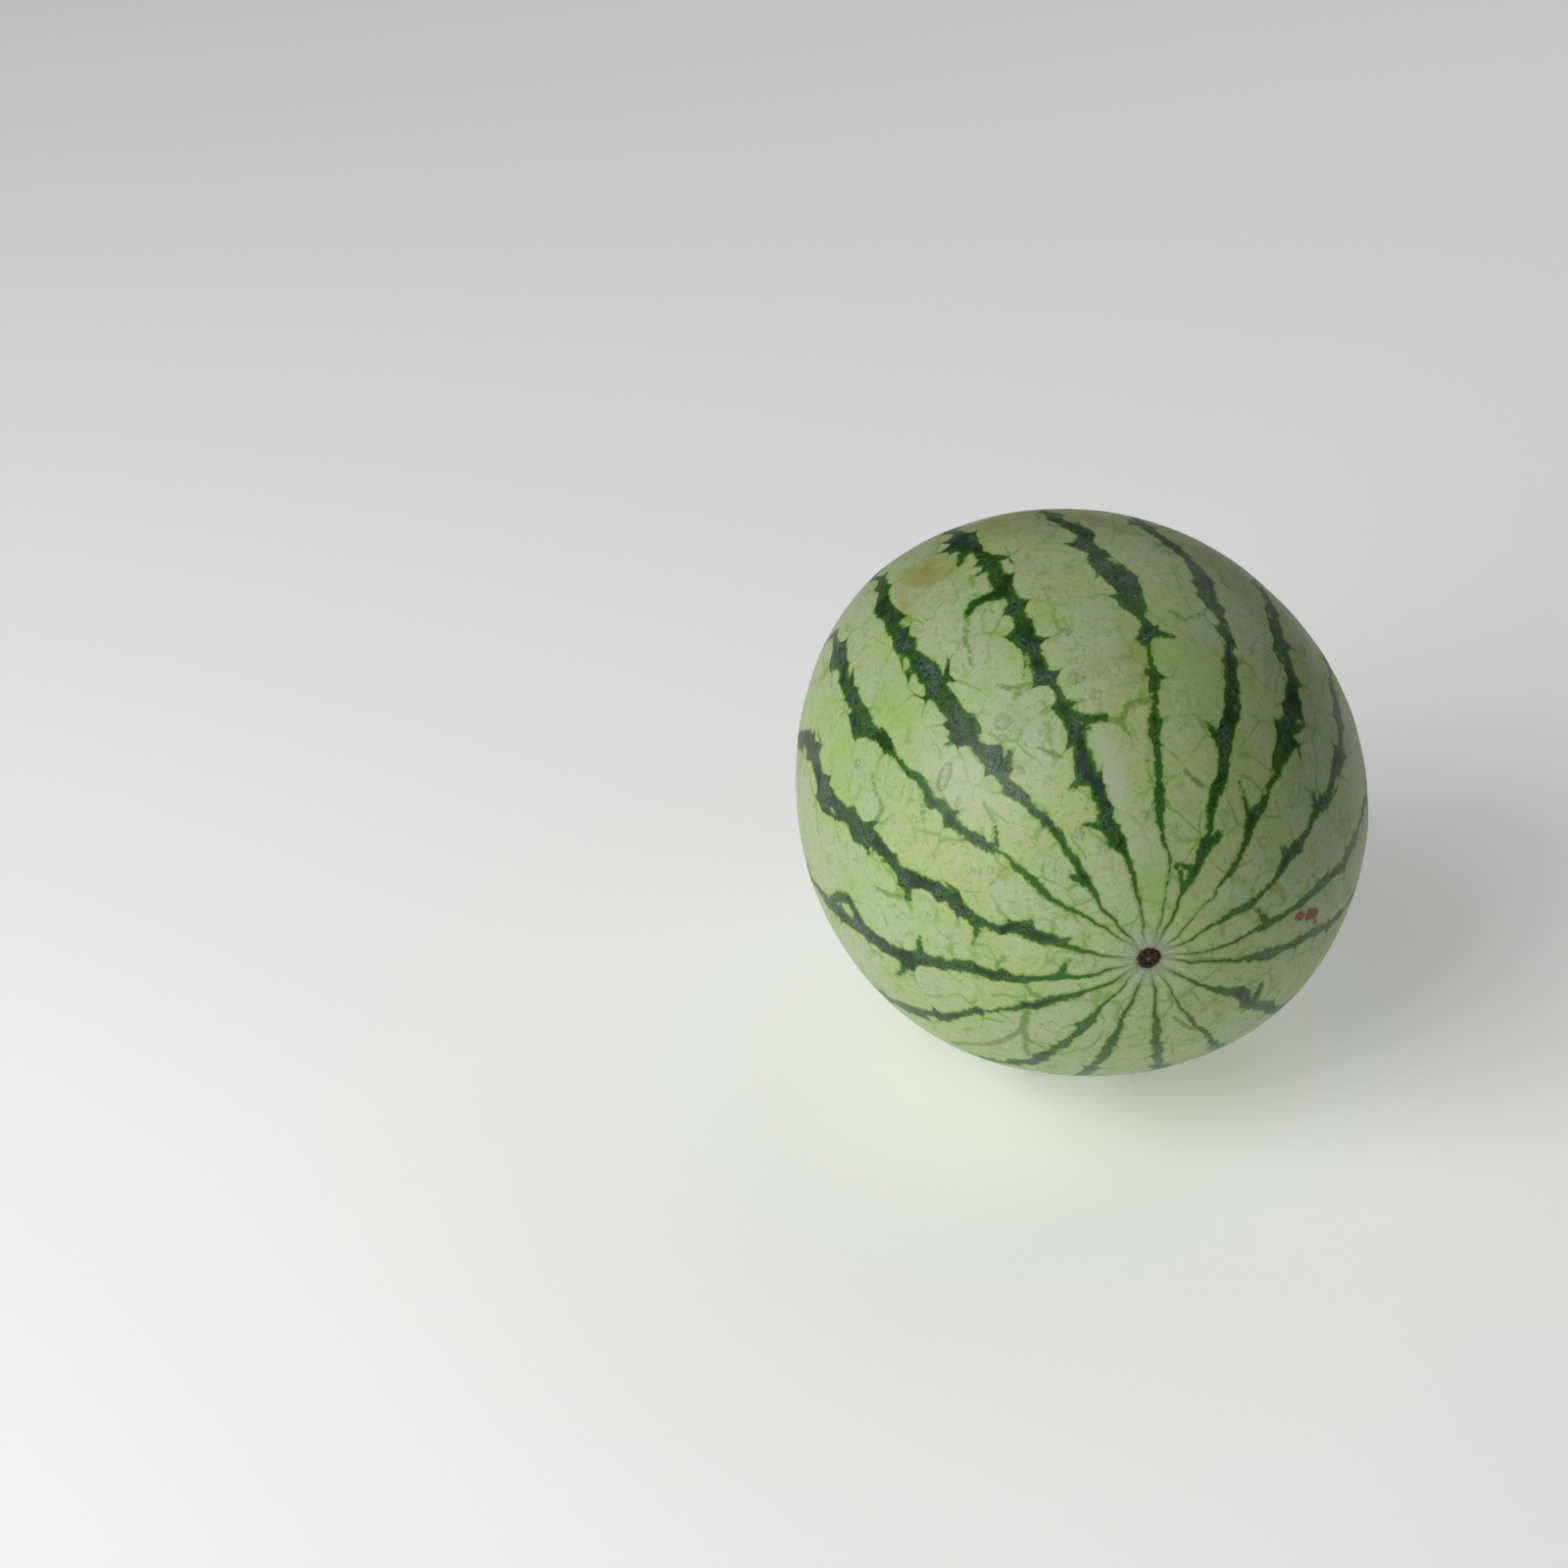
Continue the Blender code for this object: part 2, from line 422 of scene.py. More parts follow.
# Side branches of stripes, drawn veins, scabs and leaf-yellow streaks
MARKS = {
    Layer.SPUR: (
        Stroke(((14, 66), (17, 71), (18, 75.5)), (1.2, 0.6)),
        Stroke(((18.2, 63), (18.4, 75)), (2.2, 0.6)),
        Stroke(((21.5, 63), (25.5, 58.5)), (3.0, 2.2)),
        Stroke(((31, 49), (33, 53), (36, 58)), (2.0, 0.4)),
        Stroke(((52, 46), (55.5, 42.5)), (3.0, 0.6)),
        Stroke(((41.5, 67), (44.5, 71)), (3.0, 0.8)),
        Stroke(((62.5, 85), (61.6, 79)), (3.6, 0.8)),
        Stroke(((26.5, 108), (28.2, 115)), (2.6, 0.6)),
        Stroke(((35.5, 108), (35, 114.5)), (3.2, 0.4)),
        Stroke(((49, 108), (46, 103.5), (45.4, 98.5)), (3.2, 2.2)),
        Stroke(((79.5, 110), (80, 116.5), (78, 118.6)), (4.4, 2.4)),
        Stroke(((94, 116), (99, 114)), (2.0, 4.0)),
        Stroke(((89, 111), (87.5, 115)), (2.4, 0.6)),
        Stroke(((19.5, 128.5), (21.5, 131.5)), (2.2, 1.4)),
        Stroke(((43.5, 128), (46.2, 124)), (3.6, 1.6)),
        Stroke(((55, 132), (55.2, 135.8)), (3.0, 0.8)),
        Stroke(((36.2, 147), (35, 143.6), (38, 138.8)), (2.0, 0.6)),
        Stroke(((16, 168), (14.8, 163.5)), (2.4, 0.6)),
        Stroke(((22.5, 167), (22.5, 161.5)), (4.0, 0.8)),
        Stroke(((47.5, 169), (46.6, 174)), (4.0, 2.0)),
        Stroke(((31.5, 172), (32, 181)), (2.0, 0.4)),
        Stroke(((16, 193), (15, 185), (14.2, 180)), (2.4, 0.5)),
        Stroke(((44, 190), (43.6, 184)), (3.0, 0.8)),
        Stroke(((49, 195), (51, 199), (53.5, 200.5)), (2.6, 0.7)),
        Stroke(((60, 188.5), (63.5, 184), (68, 186), (72, 189.5)), (3.6, 3.0)),
        Stroke(((32, 28), (31.5, 31.5)), (3.0, 0.8)),
        Stroke(((43.5, 29), (44.6, 33)), (2.6, 0.6)),
        Stroke(((28.5, 325), (27, 333)), (3.4, 1.2)),
        Stroke(((23.5, 6), (22.6, 11), (21.6, 17)), (2.6, 0.6)),
    ),
    Layer.VEIN: (
        Stroke(((45.4, 98.5), (44, 94.5), (47.3, 92), (47.8, 86)), (1.4, 1.2)),
        Stroke(((44, 94.5), (41.5, 93)), (1.0, 0.6)),
        Stroke(((56, 111), (57, 116.5), (59, 119)), (1.2, 0.8)),
        Stroke(((56.5, 114), (54.6, 117.5)), (0.8, 0.6)),
        Stroke(((79, 118), (72, 121), (66, 122)), (1.4, 0.6)),
        Stroke(((52, 148), (49.2, 152.5)), (1.2, 0.6)),
        Stroke(((59, 162), (58.4, 157.6), (62, 156), (65, 153.5)), (1.2, 0.8)),
        Stroke(((47.5, 174), (51, 175.8), (55, 176)), (1.2, 0.6)),
        Stroke(((38, 138.8), (42, 137.5)), (1.0, 0.6)),
        Stroke(((25, 212), (29, 221), (31.5, 228), (31.4, 238)), (1.8, 1.0)),
        Stroke(((29.5, 222), (36, 225.5), (41, 227), (50, 227), (57, 229)), (1.2, 1.8)),
        Stroke(((31.5, 228), (35, 233), (38, 238)), (1.2, 0.8)),
        Stroke(((21, 208), (22.4, 203), (23, 196)), (1.4, 0.8)),
        Stroke(((26, 183), (28, 189)), (1.0, 0.6)),
        Stroke(((68, 79), (66, 76), (69, 72)), (1.2, 0.6)),
        Stroke(((41, 113), (44, 117)), (1.0, 0.6)),
        Stroke(((33, 71), (35, 77)), (1.0, 0.6)),
        Stroke(((16, 292), (22, 297), (27, 303)), (0.9, 0.6)),
    ),
    Layer.SCAB: (
        Stroke(((31.4, 1.4), (32.2, 1.0)), (3.4, 3.8)),
        Stroke(((34.8, -0.6), (36.6, -1.8)), (4.6, 4.0)),
        Stroke(((36.8, -4.8), (38.2, -5.6)), (1.8, 1.4)),
        Stroke(((24, 4.2), (24.2, 4.6)), (1.0, 1.0)),
        Stroke(((77, 103.3), (77.6, 103.4)), (0.9, 0.9)),
        Stroke(((25.5, 101.2), (25.6, 101.8)), (0.5, 0.5)),
        Stroke(((12.2, 153), (12.3, 157)), (0.6, 0.6)),
    ),
    Layer.LEAF: (
        Stroke(((28, 13), (27.6, 17), (26.6, 21)), (1.6, 3.6)),
        Stroke(((14, 12), (14.4, 20)), (1.8, 1.2)),
    ),
}

# Tan patches over the top, greener patches that on the left side are also painted shade, and pale
# chalky patches that are partly a painted highlight
PATCHES = {
    Layer.TAN: (
        Blush((98, 123), (14.0, 8.0), 1.0),
        Blush((92, 128), (10.0, 6.0), 0.9),
        Blush((104, 84), (16.0, 14.0), 0.8),
        Blush((96, 66), (20.0, 16.0), 0.6),
        Blush((108, 105), (14.0, 20.0), 0.55),
        Blush((58, 92), (14.0, 12.0), 0.25),
        Blush((74, 62), (14.0, 8.0), 0.3),
        Blush((122, 92), (34.0, 30.0), 0.65),
        Blush((145, 70), (24.0, 34.0), 0.4),
    ),
    # Greener rind; the large patches on the left side are also painted shade
    Layer.GREEN: (
        Blush((76, 160), (24.0, 14.0), 1.0),
        Blush((71, 141), (14.0, 8.0), 0.8),
        Blush((60, 176), (14.0, 12.0), 0.7),
        Blush((62, 112), (14.0, 10.0), 0.5),
        Blush((58, 78), (20.0, 12.0), 0.4),
        Blush((12, 145), (7.0, 6.0), 1.0),
        Blush((13, 90), (7.0, 4.0), 0.9),
        Blush((13, 186), (7.0, 4.0), 0.8),
    ),
    # Pale chalky bloom, which is also a painted highlight where the broad shine falls
    Layer.CHALK: (
        Blush((36, 100), (14.0, 3.2), 0.9),
        Blush((48, 141), (14.0, 9.0), 0.5),
        Blush((84, 108), (8.0, 6.0), 0.4),
        Blush((22, 100), (8.0, 8.0), 0.5),
    ),
}


@dataclass
class Pattern:
    """Works out where each point of the rind lies among the stripes, and what marks it bears.

    Args:
        equator_radius: Radius of the even fruit, which turns angles into lengths.
        seed: Seed of the stretches of stripe that the lists leave open.
    """

    equator_radius: float
    seed: int = 7
    step_degrees: float = 0.5
    closing_degrees: float = 172.0
    leap_degrees: tuple[float, float] = (3.2, 5.0)
    homing: tuple[float, float] = (60.0, 112.0)
    home_offset: float = 0.35
    wander: float = 0.09
    thinnest_mm: float = 1.2
    swelling_mm: float = 7.0
    thin_bias: float = 1.6
    pale_share: float = 0.45
    narrowing_degrees: float = 45.0
    closed_mm: float = 0.6
    smoothing: float = 1.7
    smoothing_reach: int = 4
    grid: np.ndarray = field(init=False)
    centres: np.ndarray = field(init=False)
    widths: np.ndarray = field(init=False)

    def __post_init__(self) -> None:
        """Draw every stripe on a fine grid of angles."""
        self.grid = np.arange(0.0, 180.0 + self.step_degrees, self.step_degrees)
        random = np.random.default_rng(self.seed)
        drawn = [self._draw(stripe, index, random) for index, stripe in enumerate(STRIPES)]
        self.centres = np.array([centre for centre, _ in drawn])
        self.widths = np.array([width for _, width in drawn])

    def _draw(
        self, stripe: Stripe, index: int, random: np.random.Generator
    ) -> tuple[np.ndarray, np.ndarray]:
        """Draw one stripe from end to end.

        Args:
            stripe: The stripe, whose course may stop short of the stem end.
            index: Its number round the fruit.
            random: The source of the part that goes on from there.

        Returns:
            Its angle round and its width in mm, at each step of the grid.
        """
        course = list(stripe.course)
        share = 360.0 / len(STRIPES)
        home = share * (index + self.home_offset)
        angle, longitude, _ = course[-1]
        start = longitude
        reach = self.closing_degrees - angle
        while angle < self.closing_degrees - 6.0:
            angle += random.uniform(*self.leap_degrees)
            along = min(1.0, (angle - course[0][0]) / (course[0][0] + reach + angle) * 2.0)
            homeward = min(1.0, max(0.0, (angle - self.homing[0]) / self.homing[1]))
            drift = start + (home - start) * homeward * along
            longitude = drift + random.uniform(-self.wander, self.wander) * share
            narrowing = min(1.0, (180.0 - angle) / self.narrowing_degrees)
            width = self.thinnest_mm + self.swelling_mm * random.random() ** self.thin_bias
            width *= narrowing * (self.pale_share + (1.0 - self.pale_share) * stripe.depth)
            course.append((angle, longitude, width))
        course.append((180.0, home, self.closed_mm))
        angles, around, width = np.array(course).T
        reach = self.smoothing_reach
        smooth = np.exp(-0.5 * (np.arange(-reach, reach + 1) / self.smoothing) ** 2)
        smooth /= smooth.sum()
        lines = []
        for values in (around, width):
            line = np.interp(self.grid, angles, values)
            padded = np.pad(line, reach, mode="edge")
            lines.append(np.convolve(padded, smooth, mode="valid"))
        return lines[0], lines[1]

    def locate(self, colatitude: np.ndarray, longitude: np.ndarray) -> dict[str, np.ndarray]:
        """Find the stripes on both sides of each place.

        Args:
            colatitude: Angles from the blossom end, in degrees.
            longitude: Angles round the fruit, in degrees.

        Returns:
            The stripe coordinate, which is whole on each stripe's middle line, and the layers
            for the gap between stripes, the half-width and the depth of the nearest one.
        """
        count = len(STRIPES)
        centres = np.array([np.interp(colatitude, self.grid, line) for line in self.centres])
        widths = np.array([np.interp(colatitude, self.grid, line) for line in self.widths])
        depths = np.array([stripe.depth for stripe in STRIPES])
        turned = (longitude - centres[0]) % 360.0
        beyond = (centres - centres[0]) % 360.0
        beyond = np.vstack([beyond, np.full_like(turned, 360.0)])
        index = np.clip((turned >= beyond[:-1]).sum(axis=0) - 1, 0, count - 1)
        every = np.arange(len(turned))
        low, high = beyond[index, every], beyond[index + 1, every]
        part = np.clip((turned - low) / np.maximum(high - low, 1e-6), 0.0, 1.0)
        after = (index + 1) % count
        share = part * part * (3.0 - 2.0 * part)
        mm_per_degree = (
            math.radians(1.0) * self.equator_radius / MM * np.sin(np.radians(colatitude))
        )
        return {
            "coordinate": index + part,
            Layer.GAP.value: (high - low) * mm_per_degree,
            Layer.WIDTH.value: 0.5
            * (widths[index, every] * (1.0 - share) + widths[after, every] * share),
            Layer.DEPTH.value: depths[index] * (1.0 - share) + depths[after] * share,
        }


def stroke_depth(points: np.ndarray, strokes: tuple[Stroke, ...], radius: float) -> np.ndarray:
    """How deep each point lies inside any of the strokes, in mm, negative outside.

    Args:
        points: Unit directions of the points, one a row.
        strokes: The strokes.
        radius: Distance from the middle of the fruit to its rind.

    Returns:
        One depth a point.
    """
    deepest = np.full(len(points), FAR_OUTSIDE_MM)
    for stroke in strokes:
        places = np.array([place_on(*place) for place in stroke.path])
        start_width, end_width = stroke.widths_mm
        lengths = np.linalg.norm(np.diff(places, axis=0), axis=1)
        marks = np.concatenate([[0.0], np.cumsum(lengths)]) / lengths.sum()
        for number, (start, end) in enumerate(zip(places, places[1:])):
            run = end - start
            along = np.clip((points - start) @ run / (run @ run), 0.0, 1.0)
            away = np.linalg.norm(points - start - along[:, None] * run, axis=1) * radius / MM
            mark = marks[number] + along * (marks[number + 1] - marks[number])
            half = 0.5 * (start_width + (end_width - start_width) * mark)
            deepest = np.maximum(deepest, half - away)
    return deepest


def blush_weight(points: np.ndarray, blushes: tuple[Blush, ...], radius: float) -> np.ndarray:
    """How strongly each point is tinged by the soft patches.

    Args:
        points: Unit directions of the points, one a row.
        blushes: The patches.
        radius: Distance from the middle of the fruit to its rind.

    Returns:
        One weight a point, from 0 to 1.
    """
    weight = np.zeros(len(points))
    for blush in blushes:
        middle = np.array(place_on(*blush.place))
        along = np.array(place_on(blush.place[0] + 90.0, blush.place[1]))
        across = np.cross(middle, along)
        long_mm, wide_mm = blush.size_mm
        offset = (points - middle) * radius / MM
        spread = np.hypot(offset @ along / long_mm, offset @ across / wide_mm)
        spread = np.hypot(spread, offset @ middle / long_mm)
        weight = np.maximum(weight, blush.strength * np.exp(-(spread**2)))
    return weight


# ---------------------------------------------------------------------------
# Finishes
# ---------------------------------------------------------------------------


@dataclass(frozen=True)
class Rise:
    """A share that rises while a value goes from one number to another.

    Args:
        value: The name of the value that it follows.
        start: The number at which it starts to rise.
        end: The number at which it is full, which may be the lower of the two.
        top: How high it is there.
        bottom: How high it is at the start.
        times: The names of what it is multiplied by.
        even: Whether it rises evenly, and not with soft ends.
    """

    value: str | Layer
    start: float
    end: float
    top: float = 1.0
    bottom: float = 0.0
    times: tuple[str | Layer, ...] = ()
    even: bool = False

    def grow(self, tree: bpy.types.NodeTree, known: dict) -> bpy.types.NodeSocket:
        """Work out the share from what is known of each point."""
        share = add_node(
            tree,
            RANGE,
            {0: known[self.value], 1: self.start, 2: self.end, 3: self.bottom, 4: self.top},
            interpolation_type="LINEAR" if self.even else "SMOOTHSTEP",
        ).outputs[0]
        for name in self.times:
            share = add_node(
                tree, MATH, {0: share, 1: known[name]}, operation="MULTIPLY"
            ).outputs[0]
        return share


@dataclass(frozen=True)
class Coat:
    """One coat of colour, and the share of what is under it that it covers."""

    colour: str
    share: Rise


@dataclass(frozen=True)
class RindFinish:
    """Living watermelon rind: a smooth, waxy skin that grew, with green stripes inside it.

    The wax gives a soft, broad shine and a faint bloom, and no grain. A rise that follows a
    distance is in mm. One that follows a noise is in the noise's own numbers, round 0.5.
    """

    name: str = "waxy_rind"
    ground: str = "#A6B48D"
    ior: float = 1.45
    shine: float = 0.42
    # Noises: the size of their blobs in mm, and how many finer ones they hold
    noises: tuple[tuple[str, float, float], ...] = (
        ("wide", 34.0, 2.0), ("patches", 16.0, 2.0), ("handling", 14.0, 3.0),
        ("thorn_patches", 12.0, 1.0), ("lace_patches", 10.0, 1.0), ("yellow", 8.0, 3.0),
        ("tint", 8.0, 2.0), ("coarse_gaps", 7.26, 1.0), ("sway", 6.0, 1.0), ("flow", 4.0, 1.0),
        ("fine_gaps", 3.3, 1.0), ("mottle", 1.6, 2.0), ("ragged", 1.4, 3.0), ("pores", 0.7, 2.0),
    )
    # Points shifted by a noise: its size in mm, its detail and the shift in mm
    bends: tuple[tuple[str, float, float, float], ...] = (
        ("crinkled", 5.0, 2.0, 6.0),
        ("folded", 9.0, 1.0, 5.0),
    )
    # Cells that the skin grew in: over which points, and their size in mm
    cells: tuple[tuple[str, str, float, str], ...] = (
        ("fine_walls", "crinkled", 5.5, "DISTANCE_TO_EDGE"),
        ("coarse_walls", "crinkled", 12.1, "DISTANCE_TO_EDGE"),
        ("lobe_walls", "lobes", 12.0, "DISTANCE_TO_EDGE"),
        ("freckles", "where", 2.2, "F1"),
    )
    lobe_stretch: float = 0.75
    meander_mm: float = 1.4
    ragged_mm: float = 1.2
    thorn_sharpness: float = 1.6
    thorn_loss: float = 0.2
    spur_blend_mm: float = 1.2
    frayed_mm: float = 2.4
    outline: tuple[tuple[str, Rise], ...] = (
        ("half", Rise("along", 6.0, 38.0, 1.0, 0.38, (Layer.WIDTH,), even=True)),
        ("calm", Rise("along", 6.0, 40.0, 1.0, 0.15, even=True)),
        ("thorn", Rise("lobe_walls", 2.4, 0.0, even=True)),
        # A narrow stripe has small thorns
        ("bold", Rise("thorn_patches", 0.36, 0.62, 1.15, 0.4, even=True)),
        ("thick", Rise("half", 0.6, 3.2, 1.0, 0.3, even=True)),
        ("thorn_mm", Rise(Layer.GAP, 7.0, 22.0, 3.9, 0.0, ("bold", "thick"), even=True)),
    )
    # The lace: its turns a mm across and along the stripe, and its sway
    lace_across: float = 0.62
    lace_along: float = 0.34
    lace_sway: float = 2.4
    lace_levels: tuple[float, ...] = (0.42, 0.49, 0.56)
    lace: str = "#76937A"
    lace_green: str = "#5F8A3A"
    hairs_a_gap: float = 2.6
    ring_wander_mm: float = 8.0
    shares: tuple[tuple[str, Rise], ...] = (
        ("fine_breaks", Rise("fine_gaps", 0.54, 0.64, 0.5)),
        ("coarse_breaks", Rise("coarse_gaps", 0.53, 0.63, 0.6)),
        ("vein_breaks", Rise("sway", 0.40, 0.58)),
        ("near_stripe", Rise("edge", -13.0, -0.8, 0.95, times=("vein_breaks",))),
        ("dark", Rise("depth", -0.3, 0.5)),
        ("deep", Rise("along", 10.0, 34.0, 1.0, 0.3, ("depth", Layer.DEPTH), even=True)),
        ("slate", Rise("tint", 0.40, 0.60)),
        ("flecked", Rise("depth", 0.3, 1.2, 0.45)),
        ("patchy", Rise("lace_patches", 0.34, 0.58)),
        ("laced", Rise("depth", 0.5, 1.3, 0.8, times=("patchy",))),
        ("near_scar", Rise("along", 9.5, 6.0, 0.8)),
        ("uneven_wax", Rise("handling", 0.3, 0.7, 0.50, 0.37, even=True)),
        ("swell", Rise("depth", -1.5, 1.5, 0.0, 1.0)),
    )
    coats: tuple[Coat, ...] = (
        # Warm and green patches of the ground, which is greener near a stripe
        Coat("#A7B379", Rise("wide", 0.42, 0.62)),
        Coat("#9DB46C", Rise("patches", 0.48, 0.72, 0.75)),
        Coat("#9DB46C", Rise("edge", -7.0, -1.0, 0.45)),
        # The wax is a little mottled, and has yellow blotches
        Coat("#AEB9A2", Rise("mottle", 0.52, 0.72, 0.4)),
        Coat("#7B9C4C", Rise("mottle", 0.46, 0.28, 0.3)),
        Coat("#86973C", Rise("yellow", 0.56, 0.78, 0.5)),
        # Short forked veins: the walls of small cells, broken up where a noise is low
        Coat("#7B9C4C", Rise("fine_walls", 0.4, 0.1, times=("fine_breaks",))),
        Coat("#7B9C4C", Rise("coarse_walls", 0.5, 0.1, times=("coarse_breaks",))),
        # The veins that run on from the thorns, and the larger ones that were drawn
        Coat("#7B9C4C", Rise("lobe_walls", 0.75, 0.1, times=("near_stripe",))),
        Coat("#5F8C34", Rise("vein", 0.4, 1.4, 0.85)),
        # Freckles, a little darker than the ground
        Coat("#5F8C34", Rise("freckles", 0.528, 0.264, 0.5)),
        # The greener patches, which on the left side are also painted shade; the tan patches over
        # the top; the pale chalky patches, partly a painted highlight; and the leaf-yellow patches
        Coat("#8FB357", Rise("wide", 0.3, 0.6, times=(Layer.GREEN,))),
        Coat("#94934A", Rise("yellow", 0.34, 0.58, times=(Layer.TAN,))),
        # Pale chalky bloom, partly a painted highlight where the broad shine falls
        Coat("#AEB9A2", Rise(Layer.CHALK, 0.0, 1.0, even=True)),
        Coat("#86973C", Rise(Layer.LEAF, -0.6, 0.5, 0.8)),
        # The stripe, from its soft green edge to its blue-green core and the lace over it
        Coat("#7E9A4C", Rise("depth", -1.1, -0.1, 0.8)),
        Coat("#33631A", Rise("depth", -0.35, 0.2)),
        Coat("#12300D", Rise("deep", 0.35, 1.25)),
        Coat("#193022", Rise("deep", 0.35, 1.25, times=("slate",))),
        Coat("#33631A", Rise("net", 0.54, 0.72, times=("flecked",))),
        Coat("lace", Rise("off_thread", 0.022, 0.004, times=("laced",))),
        # The pale skin round the blossom scar, its hair-thin dark lines, rust and scabs
        Coat("#AEB9A2", Rise("ring", 15.5, 8.0, 0.65)),
        Coat("#3C4230", Rise("hairs", 0.24, 0.10, times=("near_scar",))),
        Coat("#7A4E2C", Rise("ring", 8.2, 6.6, 0.8)),
        Coat("#7E3E1C", Rise("scab", 0.8, 1.9, 0.95)),
    )
    smoother_stripes: float = 0.04
    pore_strength: float = 0.25
    pore_mm: float = 0.06
    swell_strength: float = 0.5
    swell_mm: float = 0.12

    def make(self) -> bpy.types.Material:
        """Build the rind's material."""
        material = blank_material(self.name)
        tree = material.node_tree
        known = {
            layer: add_node(tree, "ShaderNodeAttribute", attribute_name=layer.value).outputs["Fac"]
            for layer in Layer
        }
        chart = add_node(tree, "ShaderNodeUVMap", uv_map="stripes")
        split = add_node(tree, "ShaderNodeSeparateXYZ", {0: chart.outputs[0]})
        known["coordinate"], known["along"] = split.outputs[0], split.outputs[1]
        known["where"] = add_node(tree, "ShaderNodeTexCoord").outputs["Object"]
        self._grow_cells(tree, known)
        self._outline_stripes(tree, known)
        self._weave_lace(tree, known)
        for name, rise in self.shares:
            known[name] = rise.grow(tree, known)
        known["lace"] = add_node(
            tree,
            MIX,
            {0: known["slate"], 6: linear(self.lace_green), 7: linear(self.lace)},
            data_type="RGBA",
        ).outputs[2]
        colour = linear(self.ground)
        for coat in self.coats:
            over = known["lace"] if coat.colour == "lace" else linear(coat.colour)
            colour = add_node(
                tree, MIX, {0: coat.share.grow(tree, known), 6: colour, 7: over}, data_type="RGBA"
            ).outputs[2]
        # A waxy roughness, a little lower on the stripes, and uneven where the bloom is rubbed
        roughness = add_node(
            tree,
            MATH,
            {0: known["dark"], 1: -self.smoother_stripes, 2: known["uneven_wax"]},
            operation="MULTIPLY_ADD",
        ).outputs[0]
        shader = add_node(
            tree,
            "ShaderNodeBsdfPrincipled",
            {
                "Base Color": colour,
                "Roughness": roughness,
                "IOR": self.ior,
                "Specular IOR Level": self.shine,
                "Normal": self._bump(tree, known),
            },
        )
        add_node(tree, "ShaderNodeOutputMaterial", {"Surface": shader.outputs[0]})
        return material

    def _grow_cells(self, tree: bpy.types.NodeTree, known: dict) -> None:
        """Add the noises, the bent points and the distances to the cells' walls, in mm."""
        where = known["where"]
        for name, size_mm, detail in self.noises:
            known[name] = add_node(
                tree, NOISE, {"Vector": where, "Scale": per_metre(size_mm), "Detail": detail}
            ).outputs["Fac"]
        for name, size_mm, detail, shift_mm in self.bends:
            point = add_node(
                tree, NOISE, {"Vector": where, "Scale": per_metre(size_mm), "Detail": detail}
            ).outputs["Color"]
            for operation, inputs in (
                ("SUBTRACT", {1: (0.5, 0.5, 0.5)}),
                ("SCALE", {3: shift_mm * MM}),
                ("ADD", {1: where}),
            ):
                point = add_node(tree, VECTOR, {0: point, **inputs}, operation=operation).outputs[0]
            known[name] = point
        known["lobes"] = add_node(
            tree,
            VECTOR,
            {0: known["folded"], 1: (1.0, self.lobe_stretch, 1.0)},
            operation="MULTIPLY",
        ).outputs[0]
        for name, points, size_mm, feature in self.cells:
            cells = add_node(
                tree, VORONOI, {"Vector": known[points], "Scale": per_metre(size_mm)},
                feature=feature,
            ).outputs["Distance"]
            known[name] = add_node(
                tree, MATH, {0: cells, 1: size_mm}, operation="MULTIPLY"
            ).outputs[0]

    @staticmethod
    def _reckon(tree: bpy.types.NodeTree, known: dict, steps: tuple[tuple, ...]) -> None:
        """Add to what is known of each point, one sum at a time.

        Args:
            tree: The node tree.
            known: What is known of each point, by name.
            steps: For each sum, the name it gets, its operation, and the names or numbers in it.
        """
        for name, operation, *terms in steps:
            inputs = {number: known.get(term, term) for number, term in enumerate(terms)}
            known[name] = add_node(tree, MATH, inputs, operation=operation).outputs[0]

    def _outline_stripes(self, tree: bpy.types.NodeTree, known: dict) -> None:
        """Add how deep each point lies inside a stripe or a mark, in mm, with ragged edges."""
        self._reckon(
            tree,
            known,
            (
                ("whole", "ROUND", "coordinate"),
                ("part", "SUBTRACT", "coordinate", "whole"),
                ("aside", "MULTIPLY", "part", Layer.GAP),
                ("sway_mm", "MULTIPLY_ADD", "sway", 2.0 * self.meander_mm, -self.meander_mm),
                ("aside", "ADD", "aside", "sway_mm"),
                ("distance", "ABSOLUTE", "aside"),
            ),
        )
        # The ground is made of rounded lobes, and the stripe runs out into thorns between them
        for name, rise in self.outline:
            known[name] = rise.grow(tree, known)
        self._reckon(
            tree,
            known,
            (
                ("thorn", "POWER", "thorn", self.thorn_sharpness),
                ("thorn", "SUBTRACT", "thorn", self.thorn_loss),
                ("edge", "SUBTRACT", "half", "distance"),
                ("edge", "MULTIPLY_ADD", "thorn", "thorn_mm", "edge"),
                ("edge", "SMOOTH_MAX", "edge", Layer.SPUR, self.spur_blend_mm),
                ("ragged_mm", "MULTIPLY_ADD", "ragged", 2.0 * self.ragged_mm, -self.ragged_mm),
                ("depth", "MULTIPLY_ADD", "ragged_mm", "calm", "edge"),
                ("vein", "MULTIPLY_ADD", "ragged", self.frayed_mm, Layer.VEIN),
                ("scab", "MULTIPLY_ADD", "ragged", self.frayed_mm, Layer.SCAB),
                ("ring", "MULTIPLY_ADD", "wide", self.ring_wander_mm, "along"),
                ("hair_count", "MULTIPLY", "coordinate", self.hairs_a_gap),
            ),
        )
        known["hairs"] = add_node(
            tree, VORONOI, {"W": known["hair_count"], "Scale": 1.0},
            voronoi_dimensions="1D", feature="DISTANCE_TO_EDGE",
        ).outputs["Distance"]
        self._reckon(tree, known, (("hairs", "MULTIPLY", "hairs", Layer.GAP),))

